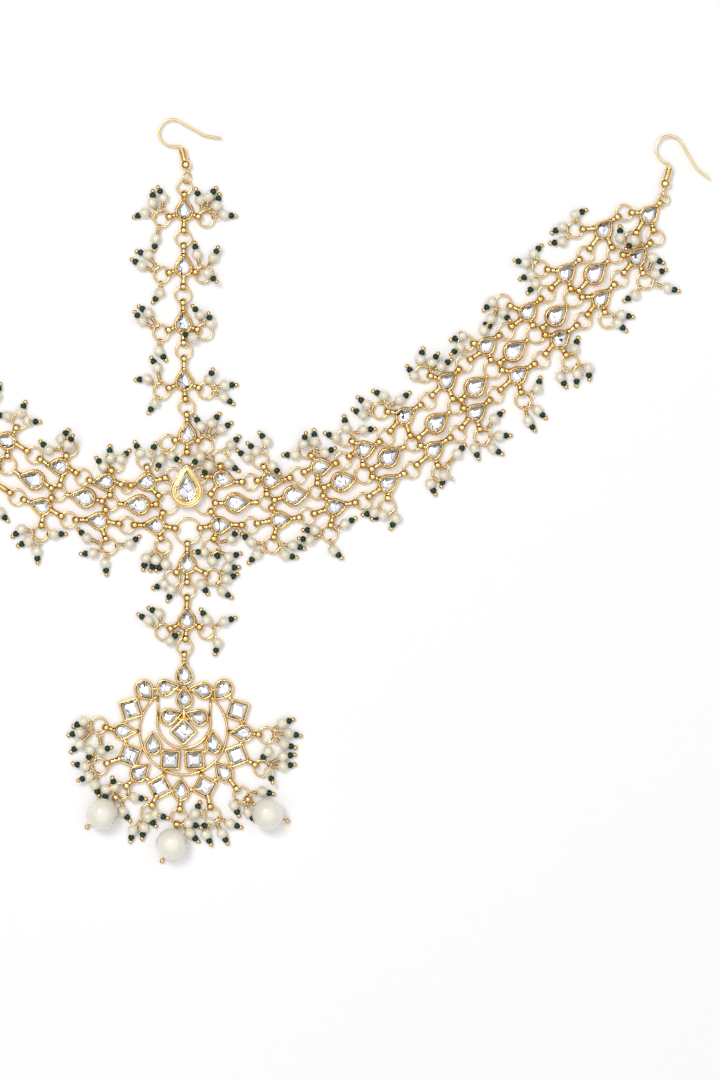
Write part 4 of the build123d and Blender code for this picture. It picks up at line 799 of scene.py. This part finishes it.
def pendant_frame():
    """The pierced pendant: bezels, the bars between them, the crescent's two wires, lugs and bail."""
    outer, inner = arc_path(*OUTER_CIRCLE), arc_path(*INNER_CIRCLE)
    parts = [wire(outer, CIRCLE_WIRE), wire(inner, CIRCLE_WIRE)]
    parts += [rod(inner[end], outer[end], CIRCLE_WIRE) for end in (0, -1)]
    for across, up, heading, radius, reach in PENDANT_DROPS:
        wall = STONE_CLEARANCE + FRAME_RIM
        tip = reach + PENDANT_TIP + 2 * STONE_CLEARANCE + TIP_SHARE * FRAME_RIM
        form = drop_form(radius + wall, tip, BEZEL_PROFILE)
        parts.append(placed(form, (across, up, 0), heading))
    for across, up, turn, side in PENDANT_SQUARES:
        form = square_form(side / 2 + STONE_CLEARANCE + FRAME_RIM, BEZEL_PROFILE)
        parts.append(placed(form, (across, up, 0), turn))
    for start_x, start_y, end_x, end_y in FRAME_BARS:
        parts.append(rod((start_x, start_y, BAR_Z), (end_x, end_y, BAR_Z), BAR_RADIUS, 10))
    for root, (across, up, _) in zip(PENDANT_LUG_ROOTS, PENDANT_TASSELS):
        parts += lug(root, (across, up, RING_RADIUS))
    return parts + lug(PENDANT_BAIL_FROM, PENDANT_RING)


def pendant_stones():
    """The pendant's cut stones."""
    parts = []
    for across, up, heading, radius, reach in PENDANT_DROPS:
        form = drop_form(radius, reach + PENDANT_TIP, STONE_PROFILE, 9, 1, PENDANT_STONE_SEAT)
        parts.append(placed(form, (across, up, 0), heading))
    for across, up, turn, side in PENDANT_SQUARES:
        form = square_form(side / 2, STONE_PROFILE, 8, PENDANT_STONE_SEAT)
        parts.append(placed(form, (across, up, 0), turn))
    return parts


def hook_trim(hook):
    """The round bead and the wound coil on a hook's shank."""
    across, up, heading = hook
    spot = (across, up, HOOK_Z)
    shoulder = turned([(-0.5, 0), (-0.5, 0.8), (-0.2, 0.95), (0.1, 0.8), (0.1, 0)], 14)
    return [
        placed(ball(HOOK_BEAD_RADIUS, 24, 16), spot),
        placed(coil(COIL_RADIUS, COIL_WIRE, COIL_START, COIL_END, COIL_TURNS, 20, 8), spot, heading),
        placed(shoulder, (across + COIL_START * cos(radians(heading)), up + COIL_START * sin(radians(heading)),
                          HOOK_Z), heading),
    ]


# Materials

def new_group(name, inputs, outputs):
    """A shader node group with named sockets, and its input and output nodes."""
    group = bpy.data.node_groups.new(name, "ShaderNodeTree")
    for socket, kind, value in inputs:
        item = group.interface.new_socket(socket, in_out="INPUT", socket_type=kind)
        item.default_value = value
    for socket, kind in outputs:
        group.interface.new_socket(socket, in_out="OUTPUT", socket_type=kind)
    return group, group.nodes.new("NodeGroupInput"), group.nodes.new("NodeGroupOutput")


def add_node(tree, kind, links=None, **settings):
    """A node with its settings, and its sockets linked or set by name."""
    node = tree.nodes.new(kind)
    for key, value in settings.items():
        setattr(node, key, value)
    for socket, value in (links or {}).items():
        if isinstance(value, bpy.types.NodeSocket):
            tree.links.new(value, node.inputs[socket])
        else:
            node.inputs[socket].default_value = value
    return node


COLOUR, FLOAT = "NodeSocketColor", "NodeSocketFloat"


def make_plating_group():
    """Hand-worked plating: two scales of noise mix a light and a deep gold and drive gloss and small dents."""
    group, inside, out = new_group(
        "plating",
        [("Light", COLOUR, (1, 0.8, 0.42, 1)), ("Deep", COLOUR, (0.9, 0.5, 0.14, 1)), ("Dent Scale", FLOAT, 900.0),
         ("Low Roughness", FLOAT, 0.16), ("High Roughness", FLOAT, 0.34)],
        [("Colour", COLOUR), ("Roughness", FLOAT), ("Height", FLOAT)],
    )
    at = group.nodes.new("ShaderNodeTexCoord").outputs["Object"]
    broad = add_node(group, "ShaderNodeTexNoise", {"Vector": at, "Scale": 260.0, "Detail": 3.0, "Roughness": 0.6})
    fine = add_node(group, "ShaderNodeTexNoise", {
        "Vector": at, "Scale": inside.outputs["Dent Scale"], "Detail": 2.0, "Roughness": 0.5})
    share = add_node(group, "ShaderNodeMapRange", {
        "Value": broad.outputs["Fac"], "From Min": 0.36, "From Max": 0.66})
    mix = add_node(group, "ShaderNodeMix", {
        "Factor": share.outputs["Result"], "A": inside.outputs["Deep"], "B": inside.outputs["Light"]}, data_type="RGBA")
    rough = add_node(group, "ShaderNodeMapRange", {
        "Value": fine.outputs["Fac"], "From Min": 0.3, "From Max": 0.7,
        "To Min": inside.outputs["Low Roughness"], "To Max": inside.outputs["High Roughness"]})
    group.links.new(mix.outputs["Result"], out.inputs["Colour"])
    group.links.new(rough.outputs["Result"], out.inputs["Roughness"])
    group.links.new(fine.outputs["Fac"], out.inputs["Height"])
    return group


def make_painted_facet_group():
    """Painted facet reflections on a foil-backed stone: straight-edged cells painted from white to grey as lit and
    shaded facets, parted here and there by thin dark lines painted as dark reflections.
    """
    group, inside, out = new_group(
        "painted_facet_reflections",
        [("Cell Scale", FLOAT, 430.0), ("Line Width", FLOAT, 0.03), ("White", COLOUR, (0.97, 0.97, 0.98, 1)),
         ("Grey", COLOUR, (0.5, 0.51, 0.54, 1)), ("Dark", COLOUR, (0.03, 0.03, 0.035, 1))],
        [("Colour", COLOUR), ("Roughness", FLOAT), ("Height", FLOAT)],
    )
    at = group.nodes.new("ShaderNodeTexCoord").outputs["Object"]
    stretch = add_node(group, "ShaderNodeMapping", {"Vector": at, "Rotation": (0, 0, 0.6), "Scale": (1.0, 0.6, 0.2)})
    cells = add_node(group, "ShaderNodeTexVoronoi", {
        "Vector": stretch.outputs["Vector"], "Scale": inside.outputs["Cell Scale"]})
    edges = add_node(group, "ShaderNodeTexVoronoi", {
        "Vector": stretch.outputs["Vector"], "Scale": inside.outputs["Cell Scale"]}, feature="DISTANCE_TO_EDGE")
    fade = add_node(group, "ShaderNodeTexNoise", {"Vector": at, "Scale": 620.0, "Detail": 1.0})
    pick = add_node(group, "ShaderNodeSeparateColor", {"Color": cells.outputs["Color"]})
    width = add_node(group, "ShaderNodeMapRange", {
        "Value": fade.outputs["Fac"], "From Min": 0.42, "From Max": 0.62, "To Min": 0.0,
        "To Max": inside.outputs["Line Width"]})
    line = add_node(group, "ShaderNodeMath", {0: edges.outputs["Distance"], 1: width.outputs["Result"]},
                    operation="LESS_THAN")
    pale = add_node(group, "ShaderNodeMath", {0: pick.outputs["Green"], 1: 0.45}, operation="POWER")
    base = add_node(group, "ShaderNodeMix", {
        "Factor": pale.outputs["Value"], "A": inside.outputs["Grey"], "B": inside.outputs["White"]}, data_type="RGBA")
    mix = add_node(group, "ShaderNodeMix", {
        "Factor": line.outputs["Value"], "A": base.outputs["Result"], "B": inside.outputs["Dark"]}, data_type="RGBA")
    rough = add_node(group, "ShaderNodeMapRange", {
        "Value": pick.outputs["Blue"], "To Min": 0.02, "To Max": 0.1})
    group.links.new(mix.outputs["Result"], out.inputs["Colour"])
    group.links.new(rough.outputs["Result"], out.inputs["Roughness"])
    group.links.new(pick.outputs["Green"], out.inputs["Height"])
    return group


def make_lustre_group():
    """Pearl skin: soft clouds between a cream and a shaded tone, with a very fine orange-peel height."""
    group, inside, out = new_group(
        "lustre",
        [("Cream", COLOUR, (0.93, 0.9, 0.8, 1)), ("Shade", COLOUR, (0.8, 0.74, 0.6, 1)), ("Cloud Scale", FLOAT, 180.0),
         ("Peel Scale", FLOAT, 3500.0)],
        [("Colour", COLOUR), ("Roughness", FLOAT), ("Height", FLOAT)],
    )
    at = group.nodes.new("ShaderNodeTexCoord").outputs["Object"]
    cloud = add_node(group, "ShaderNodeTexNoise", {
        "Vector": at, "Scale": inside.outputs["Cloud Scale"], "Detail": 2.0})
    peel = add_node(group, "ShaderNodeTexNoise", {"Vector": at, "Scale": inside.outputs["Peel Scale"], "Detail": 1.0})
    share = add_node(group, "ShaderNodeMapRange", {"Value": cloud.outputs["Fac"], "From Min": 0.35, "From Max": 0.6})
    mix = add_node(group, "ShaderNodeMix", {
        "Factor": share.outputs["Result"], "A": inside.outputs["Shade"], "B": inside.outputs["Cream"]},
        data_type="RGBA")
    rough = add_node(group, "ShaderNodeMapRange", {"Value": cloud.outputs["Fac"], "To Min": 0.2, "To Max": 0.38})
    group.links.new(mix.outputs["Result"], out.inputs["Colour"])
    group.links.new(rough.outputs["Result"], out.inputs["Roughness"])
    group.links.new(peel.outputs["Fac"], out.inputs["Height"])
    return group


def finish_material(name, group, values, bump, bump_distance, **shader):
    """A material whose colour, roughness and small relief come from a group, and the rest from plain values."""
    material = bpy.data.materials.new(name)
    material.use_nodes = True
    tree = material.node_tree
    principled = tree.nodes["Principled BSDF"]
    source = add_node(tree, "ShaderNodeGroup", node_tree=group)
    for socket, value in values.items():
        source.inputs[socket].default_value = value
    relief = add_node(tree, "ShaderNodeBump", {
        "Height": source.outputs["Height"], "Strength": bump, "Distance": bump_distance})
    tree.links.new(source.outputs["Colour"], principled.inputs["Base Color"])
    tree.links.new(source.outputs["Roughness"], principled.inputs["Roughness"])
    tree.links.new(relief.outputs["Normal"], principled.inputs["Normal"])
    for socket, value in shader.items():
        principled.inputs[socket.replace("_", " ")].default_value = value
    return material


PLATING = make_plating_group()
PAINTED_FACETS = make_painted_facet_group()
LUSTRE = make_lustre_group()

GOLD_CAST = finish_material(
    "cast_gold", PLATING, {"Light": (0.88, 0.68, 0.34, 1), "Deep": (0.8, 0.51, 0.17, 1), "Dent Scale": 700.0,
                           "Low Roughness": 0.08, "High Roughness": 0.2},
    0.12, 0.0002, Metallic=1.0)
GOLD_WIRE = finish_material(
    "wire_gold", PLATING, {"Light": (0.86, 0.65, 0.32, 1), "Deep": (0.8, 0.54, 0.22, 1), "Dent Scale": 600.0,
                           "Low Roughness": 0.1, "High Roughness": 0.14},
    0.01, 0.0001, Metallic=1.0)
GOLD_HOOK = finish_material(
    "hook_gold", PLATING, {"Light": (1.0, 0.80, 0.46, 1), "Deep": (0.92, 0.66, 0.3, 1), "Dent Scale": 400.0,
                           "Low Roughness": 0.12, "High Roughness": 0.22},
    0.1, 0.0001, Metallic=1.0)
# Painted highlight: the centrepiece gets a paler, glossier copy of the plating, so it looks lit brighter than the rest
# of the gold.
GOLD_CENTRE_PAINTED_HIGHLIGHT = finish_material(
    "centrepiece_gold_painted_highlight", PLATING, {"Light": (1.0, 0.86, 0.56, 1), "Deep": (0.92, 0.72, 0.38, 1), "Dent Scale": 400.0,
                                  "Low Roughness": 0.07, "High Roughness": 0.14},
    0.04, 0.0001, Metallic=1.0)
# The stone's colour holds painted reflections: white-to-grey cells and thin dark lines stand for its facets catching
# light and dark.
CUT_STONE = finish_material(
    "cut_stone", PAINTED_FACETS, {"Cell Scale": 430.0}, 0.25, 0.0002,
    Metallic=0.75, Coat_Weight=1.0, Coat_Roughness=0.03, IOR=1.6)
SMALL_PEARL = finish_material(
    "small_pearl", LUSTRE, {"Cream": (0.87, 0.81, 0.65, 1), "Shade": (0.74, 0.67, 0.5, 1), "Cloud Scale": 420.0},
    0.05, 0.00005,
    Coat_Weight=1.0, Coat_Roughness=0.06, Subsurface_Weight=0.15, Subsurface_Radius=(0.001, 0.0008, 0.0006))
LARGE_PEARL = finish_material(
    "large_pearl", LUSTRE, {"Cream": (0.9, 0.87, 0.77, 1), "Shade": (0.82, 0.78, 0.66, 1), "Cloud Scale": 120.0},
    0.04, 0.00005,
    Coat_Weight=1.0, Coat_Roughness=0.06, Subsurface_Weight=0.15, Subsurface_Radius=(0.002, 0.0016, 0.0012))
GREEN_GLASS = finish_material(
    "green_glass", LUSTRE, {"Cream": (0.006, 0.05, 0.024, 1), "Shade": (0.002, 0.016, 0.009, 1),
                            "Cloud Scale": 900.0},
    0.05, 0.00005, IOR=1.4)


# Pieces

def finished(name, parts, materials, nodes, smooth=True):
    """Joins placed parts to one mesh, merges its poles and seams, turns its faces outwards and stands it for the nodes."""
    points, faces, finishes, count = [], [], [], 0
    for (part_points, part_faces), finish in parts:
        points.append(part_points)
        faces.append(part_faces + count)
        finishes.append(np.full(len(part_faces), finish))
        count += len(part_points)
    mesh = bpy.data.meshes.new(name)
    mesh.from_pydata((np.concatenate(points) * MM).tolist(), [], np.concatenate(faces).tolist())
    for material in materials:
        mesh.materials.append(material)
    mesh.polygons.foreach_set("material_index", np.concatenate(finishes).astype(np.int32))
    work = bmesh.new()
    work.from_mesh(mesh)
    bmesh.ops.remove_doubles(work, verts=work.verts, dist=MERGE)
    bmesh.ops.dissolve_degenerate(work, edges=work.edges, dist=MERGE)
    bmesh.ops.recalc_face_normals(work, faces=work.faces)
    work.to_mesh(mesh)
    work.free()
    mesh.polygons.foreach_set("use_smooth", np.full(len(mesh.polygons), smooth))
    piece = bpy.data.objects.new(name, mesh)
    bpy.context.scene.collection.objects.link(piece)
    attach(piece, "root")
    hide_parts(*nodes)
    return piece


def gold_piece(name, forms, nodes, material=GOLD_CAST):
    """A piece of one gold alone."""
    return finished(name, [(form, 0) for form in forms], [material], nodes)


def tassel_piece(name, tassels, nodes):
    """Tassels joined to one piece: gold, pearl and green glass."""
    parts = [part for row in tassels for part in tassel(*row)]
    return finished(name, parts, [GOLD_WIRE, SMALL_PEARL, GREEN_GLASS], nodes)


ALL_SIDES = (0, 180, SIDE_ANGLE, -SIDE_ANGLE)
for line, units in (("centre", CENTRE_UNITS), ("tikka", TIKKA_UNITS)):
    for number, unit in enumerate(units, 1):
        forms = setting(unit, ALL_SIDES, SETTING_RADIUS, SETTING_REACH, ROOT_DEPTH, SETTING_PROFILE)
        gold_piece(f"{line}_drop_{number}", forms, [f"{line}_setting_{number}"])
        stones = row_stones([unit], SETTING_RADIUS, SETTING_REACH, SETTING_STONE_SEAT)
        finished(f"{line}_gem_{number}", stones, [CUT_STONE], [f"{line}_stone_{number}"], smooth=False)
tassel_piece("centre_line_tassels", CENTRE_TASSELS, ["centre_tassels"])
for number, row in enumerate(TIKKA_TASSELS, 1):
    tassel_piece(f"tikka_line_tassel_{number}", [row], [f"tikka_tassel_{number}"])

gold_piece("centrepiece", centrepiece(), ["centrepiece_setting"], material=GOLD_CENTRE_PAINTED_HIGHLIGHT)
centre_gem = stone((*CENTREPIECE_PLACE, 90), *CENTREPIECE_STONE, CENTREPIECE_STONE_SEAT)
finished("centrepiece_gem", [(centre_gem, 0)], [CUT_STONE], ["centrepiece_stone"], smooth=False)

gold_piece("pendant", pendant_frame(), ["pendant_frame"])
finished("pendant_gems", [(form, 0) for form in pendant_stones()], [CUT_STONE], ["pendant_stones"],
         smooth=False)
tassel_piece("pendant_fringe", PENDANT_TASSELS, ["pendant_tassels"])
for number, row in enumerate(BIG_PEARLS, 1):
    finished(f"large_pearl_{number}", big_pearl(*row), [GOLD_WIRE, LARGE_PEARL], [f"big_pearl_{number}"])

ARMS = [
    ("right", RIGHT_TOP, RIGHT_MIDDLE, RIGHT_BOTTOM, RIGHT_TOP_TASSELS, RIGHT_BOTTOM_TASSELS),
    ("left", LEFT_TOP, LEFT_MIDDLE, LEFT_BOTTOM, LEFT_TOP_TASSELS, LEFT_BOTTOM_TASSELS),
]
for arm, top, middle, bottom, top_tassels, bottom_tassels in ARMS:
    for row_name, units in (("top", top), ("bottom", bottom)):
        forms = [
            form for unit in units
            for form in setting(unit, ALL_SIDES, SETTING_RADIUS, SETTING_REACH, ROOT_DEPTH, SETTING_PROFILE)
        ]
        gold_piece(f"{arm}_{row_name}_row", forms, [f"{arm}_{row_name}_settings"])
    forms = [form for unit in middle for form in middle_setting(unit)]
    gold_piece(f"{arm}_middle_row", forms, [f"{arm}_middle_settings"])
    gems = row_stones(top + bottom, SETTING_RADIUS, SETTING_REACH, SETTING_STONE_SEAT)
    gems += row_stones(middle, MIDDLE_RADIUS, MIDDLE_REACH, MIDDLE_STONE_SEAT)
    finished(f"{arm}_arm_gems", gems, [CUT_STONE], [f"{arm}_arm_stones"], smooth=False)
    tassel_piece(f"{arm}_upper_fringe", top_tassels, [f"{arm}_top_tassels"])
    tassel_piece(f"{arm}_lower_fringe", bottom_tassels, [f"{arm}_bottom_tassels"])

for arm, hook in (("centre", CENTRE_HOOK), ("right", RIGHT_HOOK), ("left", LEFT_HOOK)):
    finished(f"{arm}_hook_winding", [(form, 0) for form in hook_trim(hook)], [GOLD_HOOK], [f"{arm}_hook_coil"])

for name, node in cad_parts.items():
    if name.endswith("_hook"):
        node.data.materials.clear()
        node.data.materials.append(GOLD_HOOK)
    elif name.endswith(("_ring", "_links")) or "_ring_" in name:
        node.data.materials.clear()
        node.data.materials.append(GOLD_WIRE)


# Floor, light and camera

def make_floor():
    """A plain white sheet just under the ornament."""
    half = FLOOR_HALF
    mesh = bpy.data.meshes.new("floor")
    mesh.from_pydata([(-half, -half, FLOOR_Z), (half, -half, FLOOR_Z), (half, half, FLOOR_Z), (-half, half, FLOOR_Z)],
                     [], [(0, 1, 2, 3)])
    floor = bpy.data.objects.new("floor", mesh)
    material = bpy.data.materials.new("white_sheet")
    material.use_nodes = True
    shader = material.node_tree.nodes["Principled BSDF"]
    shader.inputs["Base Color"].default_value = (0.95, 0.94, 0.94, 1)
    shader.inputs["Roughness"].default_value = 0.8
    shader.inputs["Specular IOR Level"].default_value = 0.1
    mesh.materials.append(material)
    bpy.context.scene.collection.objects.link(floor)


def make_world():
    """Soft studio surroundings: white overhead, darker low down, with one dark card high behind the pendant's top."""
    world = bpy.data.worlds.new("studio")
    world.use_nodes = True
    tree = world.node_tree
    at = tree.nodes.new("ShaderNodeTexCoord").outputs["Generated"]
    height = add_node(tree, "ShaderNodeSeparateXYZ", {"Vector": at})
    ramp = add_node(tree, "ShaderNodeValToRGB", {"Fac": height.outputs["Z"]})
    stops = ramp.color_ramp
    stops.elements[0].position = 0.0
    stops.elements[0].color = (0.5, 0.46, 0.42, 1)
    stops.elements[1].position = 1.0
    stops.elements[1].color = (1.5, 1.5, 1.52, 1)
    for position, level in ((0.14, 0.12), (0.34, 0.15), (0.52, 0.45), (0.8, 1.15)):
        stops.elements.new(position).color = (level, level, level, 1)
    card = add_node(tree, "ShaderNodeVectorMath", {0: at, 1: CARD_WAY}, operation="DOT_PRODUCT")
    shade = add_node(tree, "ShaderNodeMapRange", {
        "Value": card.outputs["Value"], "From Min": 0.84, "From Max": 0.9, "To Min": 1.0, "To Max": 0.08})
    lit = add_node(tree, "ShaderNodeVectorMath", {0: ramp.outputs["Color"], "Scale": shade.outputs["Result"]},
                   operation="SCALE")
    tree.links.new(lit.outputs["Vector"], tree.nodes["Background"].inputs["Color"])
    tree.nodes["Background"].inputs["Strength"].default_value = WORLD_STRENGTH
    bpy.context.scene.world = world


def soft_light(name, place, size, power):
    """A square soft light aimed at the middle of the picture."""
    lamp = bpy.data.lights.new(name, "AREA")
    lamp.size = size
    lamp.energy = power
    light = bpy.data.objects.new(name, lamp)
    light.location = place
    aim = bpy.data.objects.new(name + "_aim", None)
    aim.location = (CAMERA_X, CAMERA_Y, 0)
    bpy.context.scene.collection.objects.link(aim)
    bpy.context.scene.collection.objects.link(light)
    track = light.constraints.new("TRACK_TO")
    track.target = aim


def make_camera():
    """Straight above the middle of the picture, with a long lens, so that the picture's height takes VIEW_HEIGHT."""
    lens = bpy.data.cameras.new("overhead")
    lens.sensor_fit = "VERTICAL"
    lens.sensor_height = 36
    lens.lens = 36 * CAMERA_Z / VIEW_HEIGHT
    lens.clip_end = 20
    camera = bpy.data.objects.new("overhead", lens)
    camera.location = (CAMERA_X, CAMERA_Y, CAMERA_Z)
    bpy.context.scene.collection.objects.link(camera)
    bpy.context.scene.camera = camera


make_floor()
make_world()
soft_light("key", (CAMERA_X - 0.6, CAMERA_Y + 0.7, 1.8), 0.7, 16.5)
make_camera()
bpy.context.scene.view_settings.view_transform = "Standard"
